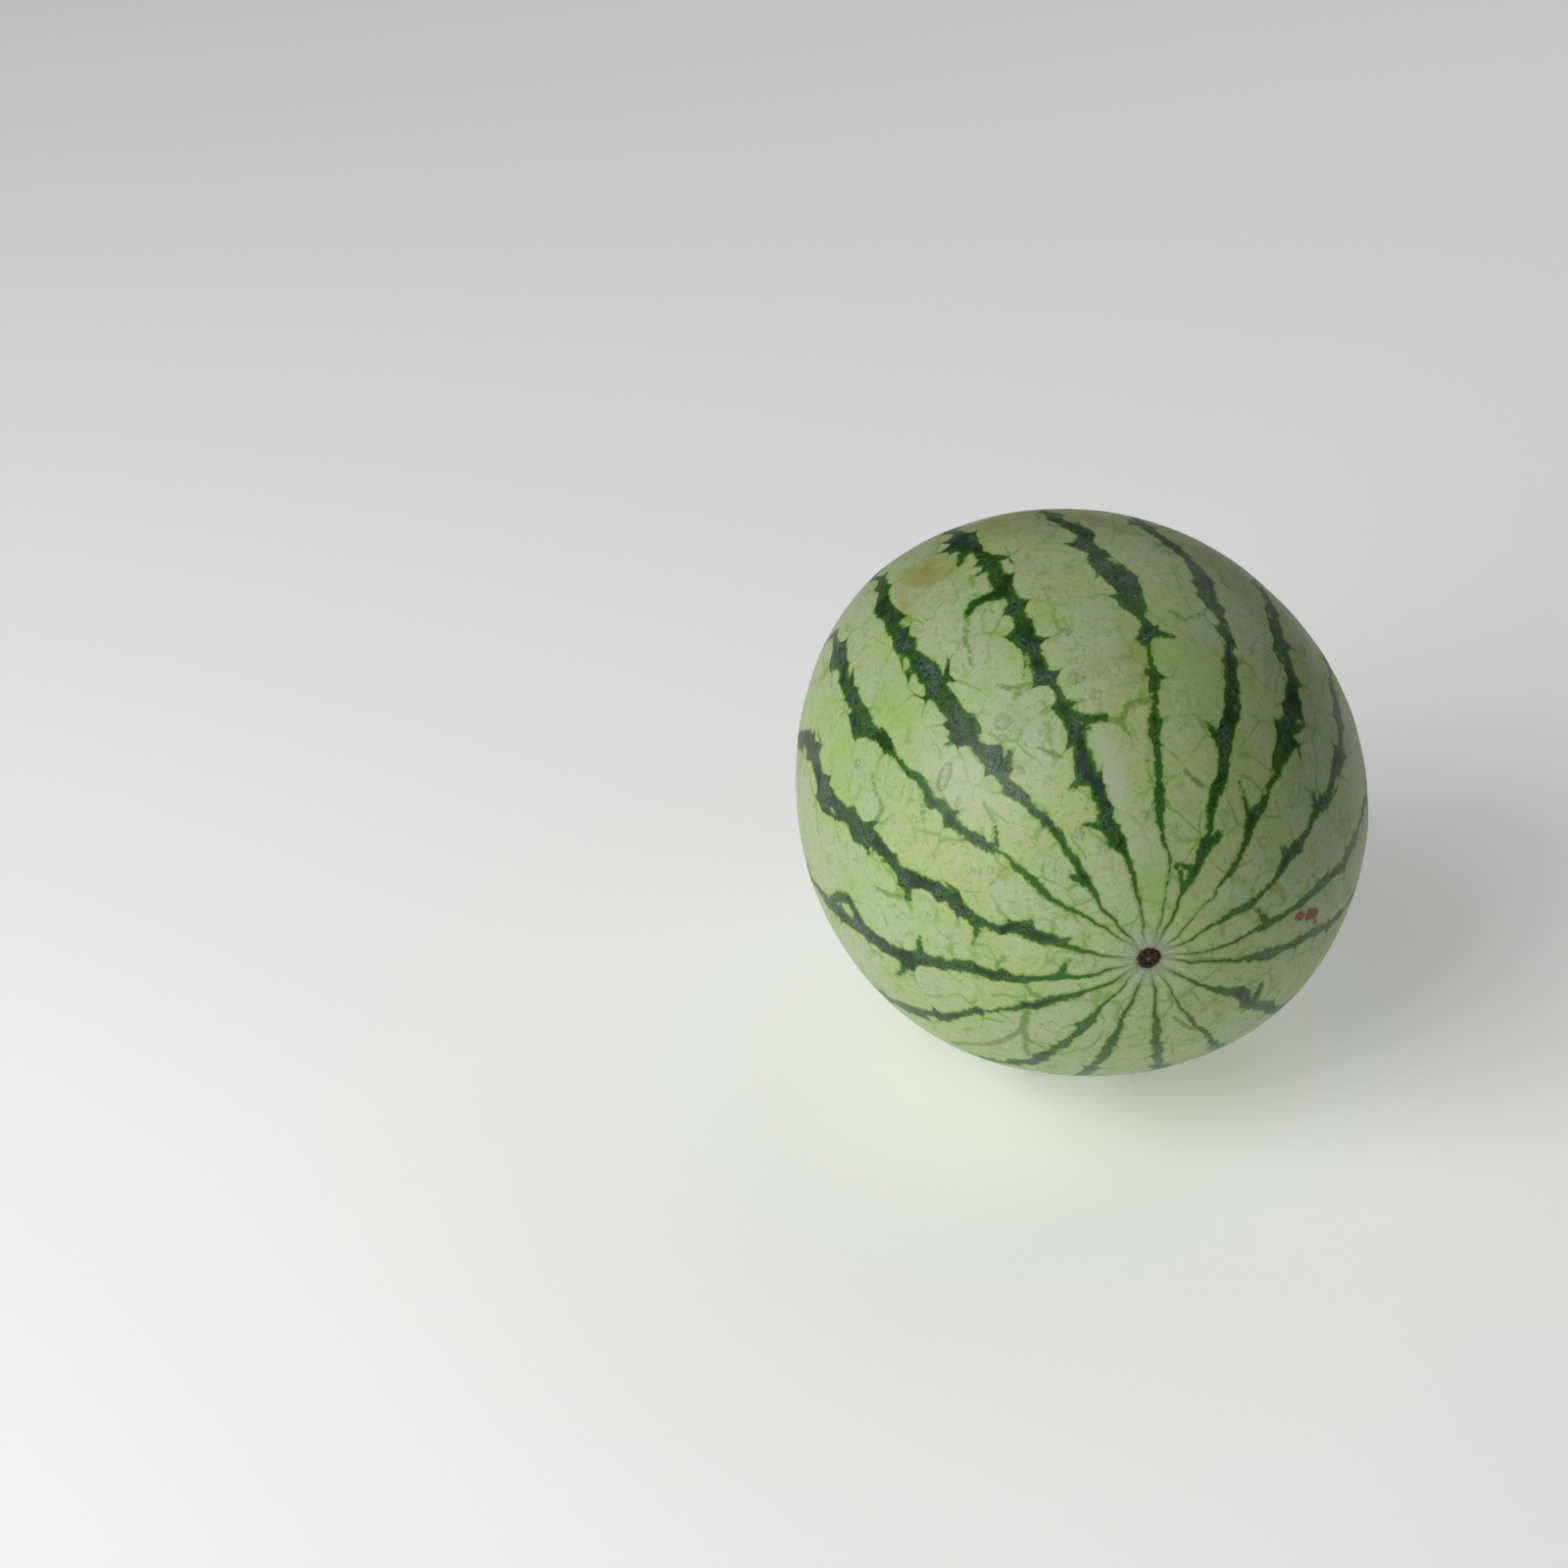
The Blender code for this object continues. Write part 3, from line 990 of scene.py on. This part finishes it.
    def _weave_lace(self, tree: bpy.types.NodeTree, known: dict) -> None:
        """Add the lace of the stripe's core: level lines of a noise drawn out along the stripe."""
        self._reckon(
            tree,
            known,
            (
                ("lace_u", "MULTIPLY", "aside", self.lace_across),
                ("lace_u", "MULTIPLY_ADD", "flow", self.lace_sway, "lace_u"),
                ("lace_v", "MULTIPLY", "along", self.lace_along),
            ),
        )
        plane = add_node(
            tree, "ShaderNodeCombineXYZ", {0: known["lace_u"], 1: known["lace_v"]}
        ).outputs[0]
        known["net"] = add_node(
            tree, NOISE, {"Vector": plane, "Scale": 1.0, "Detail": 2.0, "Roughness": 0.6},
            noise_dimensions="2D",
        ).outputs["Fac"]
        known["off_thread"] = 1.0
        for level in self.lace_levels:
            self._reckon(
                tree,
                known,
                (
                    ("off_level", "SUBTRACT", "net", level),
                    ("off_level", "ABSOLUTE", "off_level"),
                    ("off_thread", "MINIMUM", "off_thread", "off_level"),
                ),
            )

    def _bump(self, tree: bpy.types.NodeTree, known: dict) -> bpy.types.NodeSocket:
        """Fine pores, and stripes that lie a hair lower than the ground."""
        pores = add_node(
            tree,
            "ShaderNodeBump",
            {
                "Strength": self.pore_strength,
                "Distance": self.pore_mm * MM,
                "Height": known["pores"],
            },
        ).outputs[0]
        return add_node(
            tree,
            "ShaderNodeBump",
            {
                "Strength": self.swell_strength,
                "Distance": self.swell_mm * MM,
                "Height": known["swell"],
                "Normal": pores,
            },
        ).outputs[0]


@dataclass(frozen=True)
class CorkFinish:
    """Dried plant tissue: dead, shrunken and corky, so it is rough and takes no shine."""

    name: str
    light: str
    dark: str
    grain_mm: float
    roughness: float = 0.82
    bump_strength: float = 0.8
    bump_share: float = 0.25

    def make(self) -> bpy.types.Material:
        """Build the dry tissue's material."""
        material = blank_material(self.name)
        tree = material.node_tree
        where = add_node(tree, "ShaderNodeTexCoord").outputs["Object"]
        grain = add_node(
            tree, NOISE, {"Vector": where, "Scale": per_metre(self.grain_mm), "Detail": 4.0}
        ).outputs["Fac"]
        share = Rise("grain", 0.35, 0.65, even=True).grow(tree, {"grain": grain})
        colour = add_node(
            tree, MIX, {0: share, 6: linear(self.dark), 7: linear(self.light)}, data_type="RGBA"
        ).outputs[2]
        bump = add_node(
            tree,
            "ShaderNodeBump",
            {
                "Strength": self.bump_strength,
                "Distance": self.bump_share * self.grain_mm * MM,
                "Height": grain,
            },
        ).outputs[0]
        shader = add_node(
            tree,
            "ShaderNodeBsdfPrincipled",
            {"Base Color": colour, "Roughness": self.roughness, "Normal": bump},
        )
        add_node(tree, "ShaderNodeOutputMaterial", {"Surface": shader.outputs[0]})
        return material


# ---------------------------------------------------------------------------
# The pieces
# ---------------------------------------------------------------------------


@dataclass
class Rind:
    """The whole fruit's skin: an uneven ball, dimpled at both ends, with a small flat spot."""

    name: str = "rind"
    equator_radius: float = 0.090
    half_length: float = 0.0955
    segments: int = 180
    rings: int = 120
    swell_reach: float = 0.085
    swells: tuple = (
        ((-0.66, 0.48, 0.58), 0.0052),
        ((-0.06, -0.57, -0.82), -0.0040),
        ((0.75, 0.32, 0.58), -0.0026),
        ((-0.75, -0.32, -0.58), -0.0016),
        ((0.99, -0.11, 0.00), -0.0011),
        ((0.66, -0.48, -0.58), -0.0007),
    )
    dimples: tuple = ((End.BLOSSOM, 0.016, 0.0010), (End.STEM, 0.020, 0.0030))
    growth_grain: float = 0.022
    growth_lift: float = 0.0006
    foot_radius: float = 0.017
    recess_radius: float = 0.0052
    recess_depth: float = 0.0012
    finish: RindFinish = field(default_factory=RindFinish)
    centre: Vector = field(init=False)

    def build(self) -> bpy.types.Object:
        """Model the rind in the middle of the scene, then set it where the frame's fruit is."""
        deselect_all()
        bpy.ops.mesh.primitive_uv_sphere_add(
            segments=self.segments, ring_count=self.rings, radius=1.0
        )
        obj = bpy.context.object
        obj.name = self.name
        obj.data.name = self.name
        bpy.ops.object.mode_set(mode="EDIT")
        bpy.ops.mesh.select_all(action="SELECT")
        bpy.ops.transform.rotate(
            value=math.radians(90.0), orient_axis="X", center_override=(0.0, 0.0, 0.0)
        )
        bpy.ops.transform.resize(
            value=(self.equator_radius, self.half_length, self.equator_radius),
            center_override=(0.0, 0.0, 0.0),
        )
        for towards, height in self.swells:
            direction = Vector(towards).normalized()
            self._pull(obj, direction, direction * height, self.swell_reach)
        for end, reach, depth in self.dimples:
            outwards = Vector((0.0, end.value, 0.0))
            self._pull(obj, outwards, outwards * -depth, reach)
        bpy.ops.object.mode_set(mode="OBJECT")
        # The faint unevenness of a grown thing
        weather(obj, 1, self.growth_grain, 1, self.growth_lift)
        self._press_foot(obj)
        self._sink_recess(obj)
        bpy.ops.object.shade_smooth()
        self._seat(obj)
        return obj

    def _pull(
        self, obj: bpy.types.Object, direction: Vector, move: Vector, reach: float
    ) -> None:
        """Move the outermost point along a direction, and what is near it, smoothly less."""
        bpy.ops.object.mode_set(mode="OBJECT")
        outermost = max(
            obj.data.vertices, key=lambda vert: vert.co.normalized().dot(direction)
        ).index
        select_only(obj, Part.POINT, lambda vert: vert.index == outermost)
        bpy.ops.transform.translate(
            value=move,
            use_proportional_edit=True,
            proportional_edit_falloff="SMOOTH",
            proportional_size=reach,
        )

    def _press_foot(self, obj: bpy.types.Object) -> None:
        """Slice off the lowest part and close it with a flat face."""
        lowest = min(vert.co.z for vert in obj.data.vertices)
        height = lowest + self.foot_radius**2 / (2.0 * self.equator_radius)
        bpy.ops.object.mode_set(mode="EDIT")
        bpy.ops.mesh.select_all(action="SELECT")
        bpy.ops.mesh.bisect(
            plane_co=(0.0, 0.0, height),
            plane_no=(0.0, 0.0, 1.0),
            use_fill=True,
            clear_inner=True,
            threshold=1e-6,
        )
        bpy.ops.object.mode_set(mode="OBJECT")

    def _sink_recess(self, obj: bpy.types.Object) -> None:
        """Sink the round seat of the stalk stub into the stem end."""
        select_only(
            obj,
            Part.FACE,
            lambda face: face.center.y > 0.0
            and math.hypot(face.center.x, face.center.z) < self.recess_radius,
        )
        bpy.ops.mesh.extrude_region_move(
            TRANSFORM_OT_translate={"value": (0.0, -self.recess_depth, 0.0)}
        )
        bpy.ops.object.mode_set(mode="OBJECT")

    def _seat(self, obj: bpy.types.Object) -> None:
        """Move the mesh so that its box lies where the frame's fruit has its own."""
        low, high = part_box("watermelon")
        points = [vert.co for vert in obj.data.vertices]
        own_low = Vector(min(point[axis] for point in points) for axis in range(3))
        own_high = Vector(max(point[axis] for point in points) for axis in range(3))
        self.centre = (low + high - own_low - own_high) / 2.0
        self.centre.z = low.z - own_low.z
        bpy.ops.object.mode_set(mode="EDIT")
        bpy.ops.mesh.select_all(action="SELECT")
        bpy.ops.transform.translate(value=self.centre)
        bpy.ops.object.mode_set(mode="OBJECT")

    def mark(self, obj: bpy.types.Object) -> None:
        """Write the pattern onto the rind: the layers, and a map along and across the stripes."""
        mesh = obj.data
        places = np.empty(len(mesh.vertices) * 3, np.float32)
        mesh.vertices.foreach_get("co", places)
        points = places.reshape(-1, 3).astype(float) - np.array(self.centre)
        points /= np.linalg.norm(points, axis=1)[:, None]
        colatitude = np.degrees(np.arccos(np.clip(-points[:, 1], -1.0, 1.0)))
        longitude = np.degrees(np.arctan2(points[:, 2], points[:, 0])) % 360.0
        pattern = Pattern(self.equator_radius)
        found = pattern.locate(colatitude, longitude)
        layers = {layer: found[layer.value] for layer in (Layer.GAP, Layer.WIDTH, Layer.DEPTH)}
        radius = self.equator_radius
        for layer, strokes in MARKS.items():
            layers[layer] = stroke_depth(points, strokes, radius)
        for layer, blushes in PATCHES.items():
            layers[layer] = blush_weight(points, blushes, radius)
        for layer, values in layers.items():
            attribute = mesh.attributes.new(layer.value, "FLOAT", "POINT")
            attribute.data.foreach_set("value", values.astype(np.float32))
        self._unroll(mesh, found["coordinate"], colatitude)

    def _unroll(
        self, mesh: bpy.types.Mesh, coordinate: np.ndarray, colatitude: np.ndarray
    ) -> None:
        """Store the stripe coordinate and the distance along the fruit as a map.

        Args:
            mesh: The rind's mesh.
            coordinate: Each point's stripe coordinate.
            colatitude: Each point's angle from the blossom end.
        """
        corners = np.empty(len(mesh.loops), np.int32)
        mesh.loops.foreach_get("vertex_index", corners)
        totals = np.empty(len(mesh.polygons), np.int32)
        mesh.polygons.foreach_get("loop_total", totals)
        starts = np.concatenate([[0], np.cumsum(totals)[:-1]])
        across = coordinate[corners]
        # A face over the first stripe has corners at both ends of the round count
        highest = np.repeat(np.maximum.reduceat(across, starts), totals)
        across = np.where(highest - across > len(STRIPES) / 2, across + len(STRIPES), across)
        radius_mm = (self.equator_radius + self.half_length) / 2.0 / MM
        along = np.radians(colatitude[corners]) * radius_mm
        chart = mesh.uv_layers.new(name="stripes")
        chart.data.foreach_set("uv", np.stack([across, along], 1).astype(np.float32).ravel())

    def dress(self, obj: bpy.types.Object) -> None:
        """Give the rind its finish and tie it to the frame."""
        obj.data.materials.clear()
        obj.data.materials.append(self.finish.make())
        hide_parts("watermelon")
        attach(obj, "root")


@dataclass
class StalkStub:
    """The short dried stub of the stalk: a ribbed, fibrous plug with a sunken pith."""

    name: str = "stalk_stub"
    node: str = "stem_stub"
    ribs: int = 5
    sides: int = 40
    rib_rise: float = 1.09
    rib_edge: float = 0.3
    cuts: int = 5
    base_flare: float = 1.10
    pith_share: float = 0.45
    pith_sink: float = 0.0009
    pith_taper: float = 0.8
    rim_share: float = 0.06
    fibre_grain: float = 0.0012
    fibre_lift: float = 0.0004
    finish: CorkFinish = CorkFinish("dried_stalk", "#8A6C42", "#3B2917", 1.1)

    def build(self) -> bpy.types.Object:
        """Model the stub in the space of the frame's own."""
        low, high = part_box(self.node)
        middle = (Vector(low) + Vector(high)) / 2.0
        height = high[1] - low[1]
        radius = (high[0] - low[0]) / 2.0 / self.base_flare
        deselect_all()
        bpy.ops.mesh.primitive_cylinder_add(
            vertices=self.sides,
            radius=radius / self.rib_rise,
            depth=height,
            end_fill_type="NGON",
            location=middle,
            rotation=(math.radians(90.0), 0.0, 0.0),
        )
        obj = bpy.context.object
        obj.name = self.name
        obj.data.name = self.name
        bpy.ops.object.transform_apply(location=True, rotation=True, scale=True)

        def runs_lengthwise(edge: bpy.types.MeshEdge) -> bool:
            """Whether an edge runs along the stub, from end to end."""
            start, end = (obj.data.vertices[index].co for index in edge.vertices)
            return abs(start.y - end.y) > height / 2.0

        select_only(obj, Part.EDGE, runs_lengthwise)
        bpy.ops.mesh.subdivide(number_cuts=self.cuts)
        self._raise_ribs(obj, middle)
        self._flare_base(obj, middle, low[1] + height / 3.0)
        self._sink_pith(obj, high[1])
        bpy.ops.object.mode_set(mode="OBJECT")
        weather(obj, 2, self.fibre_grain, 2, self.fibre_lift)
        bpy.ops.object.shade_smooth()
        return obj

    def _raise_ribs(self, obj: bpy.types.Object, middle: Vector) -> None:
        """Push out the columns of points that lie on the ribs."""

        def on_rib(vert: bpy.types.MeshVertex) -> bool:
            """Whether a point lies on a rib, and not on the stub's middle line."""
            away = vert.co - middle
            turn = math.atan2(away.z, away.x) * self.ribs
            return math.cos(turn) > self.rib_edge and math.hypot(away.x, away.z) > 1e-5

        select_only(obj, Part.POINT, on_rib)
        bpy.ops.transform.resize(
            value=(self.rib_rise, 1.0, self.rib_rise), center_override=middle
        )

    def _flare_base(self, obj: bpy.types.Object, middle: Vector, height: float) -> None:
        """Widen the foot of the stub, where it grows out of the fruit."""
        select_only(obj, Part.POINT, lambda vert: vert.co.y < height)
        bpy.ops.transform.resize(
            value=(self.base_flare, 1.0, self.base_flare), center_override=middle
        )

    def _sink_pith(self, obj: bpy.types.Object, end: float) -> None:
        """Sink the pith into the broken end, and round the rim."""
        bpy.ops.object.mode_set(mode="OBJECT")
        width = max(obj.dimensions.x, obj.dimensions.z)
        select_only(
            obj, Part.FACE, lambda face: face.normal.y > 0.9 and face.center.y > end - 1e-4
        )
        bpy.ops.mesh.inset(thickness=self.rim_share * width)
        bpy.ops.mesh.inset(thickness=(0.5 - self.pith_share / 2.0) * width * 0.5)
        bpy.ops.mesh.extrude_region_move(
            TRANSFORM_OT_translate={"value": (0.0, -self.pith_sink, 0.0)}
        )
        bpy.ops.transform.resize(value=(self.pith_taper, 1.0, self.pith_taper))

    def dress(self, obj: bpy.types.Object) -> None:
        """Give the stub its finish and tie it to the frame."""
        obj.data.materials.append(self.finish.make())
        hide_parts(self.node)
        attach(obj, "root")


@dataclass
class BlossomScar:
    """The corky scar of the blossom: a low disc, a ring of dark nubs and one nub in its middle."""

    name: str = "blossom_scar"
    disc_radius: float = 0.0034
    disc_height: float = 0.0006
    ring_radius: float = 0.0024
    nub_radius: float = 0.00095
    nub_lift: float = 0.0003
    nubs: int = 8
    crumb_grain: float = 0.0008
    crumb_lift: float = 0.0005
    seed: int = 4
    crust: CorkFinish = CorkFinish("blossom_crust", "#3B2218", "#150A07", 0.7)
    heart: CorkFinish = CorkFinish("blossom_heart", "#7B4A3C", "#3E1F18", 0.6)

    def build(self, skin: bpy.types.Object, centre: Vector) -> bpy.types.Object:
        """Model the scar on the rind's blossom end.

        Args:
            skin: The rind.
            centre: The middle of the fruit.

        Returns:
            The scar, as one piece.
        """
        _, pole, _, _ = skin.ray_cast(centre, Vector((0.0, -1.0, 0.0)))
        random = np.random.default_rng(self.seed)
        crust, heart = self.crust.make(), self.heart.make()
        deselect_all()
        parts = [
            self._lump(pole, (self.disc_radius, self.disc_height, self.disc_radius), crust, 4)
        ]
        for number in range(self.nubs):
            turn = 2.0 * math.pi * (number + random.uniform(-0.2, 0.2)) / self.nubs
            out = self.ring_radius * random.uniform(0.88, 1.08)
            size = self.nub_radius * random.uniform(0.8, 1.15)
            place = pole + Vector(
                (out * math.cos(turn), -self.nub_lift, out * math.sin(turn))
            )
            parts.append(self._lump(place, (size, size * 0.85, size), crust, 3))
        middle = pole + Vector((0.0, -self.nub_lift, 0.0))
        size = self.nub_radius * 0.95
        parts.append(self._lump(middle, (size, size * 0.8, size), heart, 3))
        return join_parts(parts, self.name)

    def _lump(
        self,
        place: Vector,
        size: tuple[float, float, float],
        material: bpy.types.Material,
        fineness: int,
    ) -> bpy.types.Object:
        """Add one crumbly lump.

        Args:
            place: Its middle.
            size: Its half-lengths.
            material: Its material.
            fineness: How many times its faces are divided.

        Returns:
            The lump.
        """
        bpy.ops.mesh.primitive_ico_sphere_add(
            subdivisions=fineness, radius=1.0, location=place, scale=size
        )
        obj = bpy.context.object
        bpy.ops.object.transform_apply(location=True, rotation=True, scale=True)
        weather(obj, 0, self.crumb_grain, 2, self.crumb_lift)
        obj.data.materials.append(material)
        return obj

    def dress(self, obj: bpy.types.Object) -> None:
        """Tie the scar to the frame."""
        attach(obj, "root")


@dataclass(frozen=True)
class Drop:
    """One water drop on the rind.

    Args:
        place: Its middle, as (angle from the blossom end, angle round).
        width_mm: Its width.
        stretch: Its length downhill over its width.
    """

    place: tuple[float, float]
    width_mm: float
    stretch: float = 1.0


@dataclass
class WaterDrops:
    """Clear water drops, which cling to the wax as flat lenses and stretch as they run."""

    name: str = "water_drops"
    height_share: float = 0.24
    roughness: float = 0.02
    ior: float = 1.333
    opacity: float = 0.6
    drops: tuple[Drop, ...] = (
        Drop((52, 122), 5.4),
        Drop((54.5, 102.4), 5.0, 1.15),
        Drop((64.6, 101.6), 4.0),
        Drop((51, 141), 4.6, 2.0),
        Drop((45.5, 143), 1.6, 3.5),
        Drop((8, 354), 4.6),
        Drop((17, 2), 4.2, 0.8),
        Drop((38.6, 246), 5.0, 0.7),
        Drop((15, 214), 4.4, 0.8),
        Drop((29, 60), 3.6, 1.3),
        Drop((44, 126), 3.4),
        Drop((42, 124), 2.4),
        Drop((46, 127.5), 2.6, 1.4),
        Drop((27, 118), 2.6, 1.6),
        Drop((27, 92), 2.4),
        Drop((24, 112), 2.2, 1.5),
        Drop((33, 152), 2.2, 1.4),
        Drop((58, 46), 3.0, 1.2),
        Drop((75, 45), 3.6, 1.2),
        Drop((70, 155), 3.2, 1.2),
    )

    def build(self, skin: bpy.types.Object, centre: Vector) -> bpy.types.Object:
        """Lay every drop on the rind and join them.

        Args:
            skin: The rind.
            centre: The middle of the fruit.

        Returns:
            The drops, as one piece.
        """
        deselect_all()
        parts = []
        for drop in self.drops:
            _, place, normal, _ = skin.ray_cast(centre, place_on(*drop.place))
            downhill = Vector((0.0, 0.0, -1.0))
            downhill = (downhill - normal * downhill.dot(normal)).normalized()
            axes = Matrix((downhill.cross(normal), downhill, normal)).transposed()
            half = drop.width_mm * MM / 2.0
            bpy.ops.mesh.primitive_uv_sphere_add(
                segments=32,
                ring_count=20,
                radius=1.0,
                location=place,
                rotation=axes.to_euler(),
                scale=(half, half * drop.stretch, half * self.height_share * 2.0),
            )
            parts.append(bpy.context.object)
        return join_parts(parts, self.name)

    def dress(self, obj: bpy.types.Object) -> None:
        """Fill the drops with clear water and tie them to the frame."""
        # Water: clear, smooth and colourless, so all that shows is its glint and its bent view
        material = bpy.data.materials.new("clear_water")
        material.use_nodes = True
        shader = material.node_tree.nodes["Principled BSDF"]
        shader.inputs["Base Color"].default_value = linear("#FFFFFF")
        shader.inputs["Roughness"].default_value = self.roughness
        shader.inputs["IOR"].default_value = self.ior
        shader.inputs["Transmission Weight"].default_value = 1.0
        shader.inputs["Alpha"].default_value = self.opacity
        obj.data.materials.append(material)
        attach(obj, "root")


# ---------------------------------------------------------------------------
# The studio
# ---------------------------------------------------------------------------


@dataclass
class Studio:
    """A pale floor, two soft lamps from the left and one from behind, and the camera."""

    target: Vector
    azimuth: float = -13.3
    elevation: float = 29.9
    distance: float = 1.174
    aside: float = 0.0946
    above: float = 0.0002
    lens_mm: float = 85.0
    floor_size: float = 12.0
    floor_glow: float = 0.25
    room_glow: float = 0.06
    lamp_distance: float = 1.6
    lamp_size: float = 1.3
    # Each lamp's name, its direction in degrees and its power in watts
    lamps: tuple[tuple[str, float, float, float], ...] = (
        ("softbox_low", -60.0, 25.0, 17.1),
        ("softbox_high", -60.0, 45.0, 6.4),
        ("softbox_back", 140.0, 40.0, 4.0),
    )

    def build(self) -> None:
        """Lay the floor, hang the lights and set up the camera."""
        self._add_floor()
        self._add_lights()
        self._add_camera()
        bpy.context.scene.view_settings.view_transform = "Standard"

    @staticmethod
    def _direction(azimuth: float, elevation: float) -> Vector:
        """Unit direction from the fruit to a camera or a lamp, from its two angles in degrees."""
        around, up = math.radians(azimuth), math.radians(elevation)
        return Vector(
            (math.sin(around) * math.cos(up), -math.cos(around) * math.cos(up), math.sin(up))
        )

    def _add_floor(self) -> None:
        """Lay a plain pale floor under the fruit: white acrylic, lit a little from below."""
        deselect_all()
        bpy.ops.mesh.primitive_plane_add(size=self.floor_size, location=(0.0, 0.0, 0.0))
        floor = bpy.context.object
        floor.name = "floor"
        material = bpy.data.materials.new("lit_white_acrylic")
        material.use_nodes = True
        shader = material.node_tree.nodes["Principled BSDF"]
        shader.inputs["Base Color"].default_value = linear("#F4F4F3")
        shader.inputs["Roughness"].default_value = 0.8
        shader.inputs["Emission Color"].default_value = linear("#FFFFFF")
        shader.inputs["Emission Strength"].default_value = self.floor_glow
        floor.data.materials.append(material)

    def _add_lights(self) -> None:
        """Hang the soft white lamps, in a pale room that glows faintly all round."""
        world = bpy.data.worlds.new("pale_room")
        bpy.context.scene.world = world
        world.use_nodes = True
        background = world.node_tree.nodes["Background"]
        background.inputs["Color"].default_value = linear("#F1F2F4")
        background.inputs["Strength"].default_value = self.room_glow
        for name, azimuth, elevation, power in self.lamps:
            direction = self._direction(azimuth, elevation)
            place = self.target + direction * self.lamp_distance
            bpy.ops.object.light_add(type="AREA", location=place)
            lamp = bpy.context.object
            lamp.name = name
            lamp.data.name = name
            lamp.data.size = self.lamp_size
            lamp.data.energy = power
            lamp.rotation_euler = direction.to_track_quat("Z", "Y").to_euler()

    def _add_camera(self) -> None:
        """Stand the camera off to the left, looking down past the fruit's left side."""
        back = self._direction(self.azimuth, self.elevation)
        right = (-back).cross(Vector((0.0, 0.0, 1.0))).normalized()
        upwards = right.cross(-back)
        place = self.target + back * self.distance
        aim = self.target - right * self.aside + upwards * self.above
        bpy.ops.object.camera_add(location=place)
        camera = bpy.context.object
        camera.name = "camera"
        camera.data.lens = self.lens_mm
        camera.data.sensor_width = 36.0
        camera.rotation_euler = (aim - place).to_track_quat("-Z", "Y").to_euler()
        bpy.context.scene.camera = camera


def main() -> None:
    """Build the fruit piece by piece, then the studio round it."""
    logging.basicConfig(level=logging.INFO, format="%(name)s: %(message)s")
    rind = Rind()
    skin = rind.build()
    rind.mark(skin)
    rind.dress(skin)
    LOG.info("rind: %d faces", len(skin.data.polygons))
    stub = StalkStub()
    stalk = stub.build()
    stub.dress(stalk)
    LOG.info("stalk stub: %d faces", len(stalk.data.polygons))
    blossom = BlossomScar()
    scar = blossom.build(skin, rind.centre)
    blossom.dress(scar)
    LOG.info("blossom scar: %d faces", len(scar.data.polygons))
    water = WaterDrops()
    beads = water.build(skin, rind.centre)
    water.dress(beads)
    LOG.info("water drops: %d faces", len(beads.data.polygons))
    Studio(target=rind.centre).build()
    LOG.info("studio built")


if __name__ == "__main__":
    main()
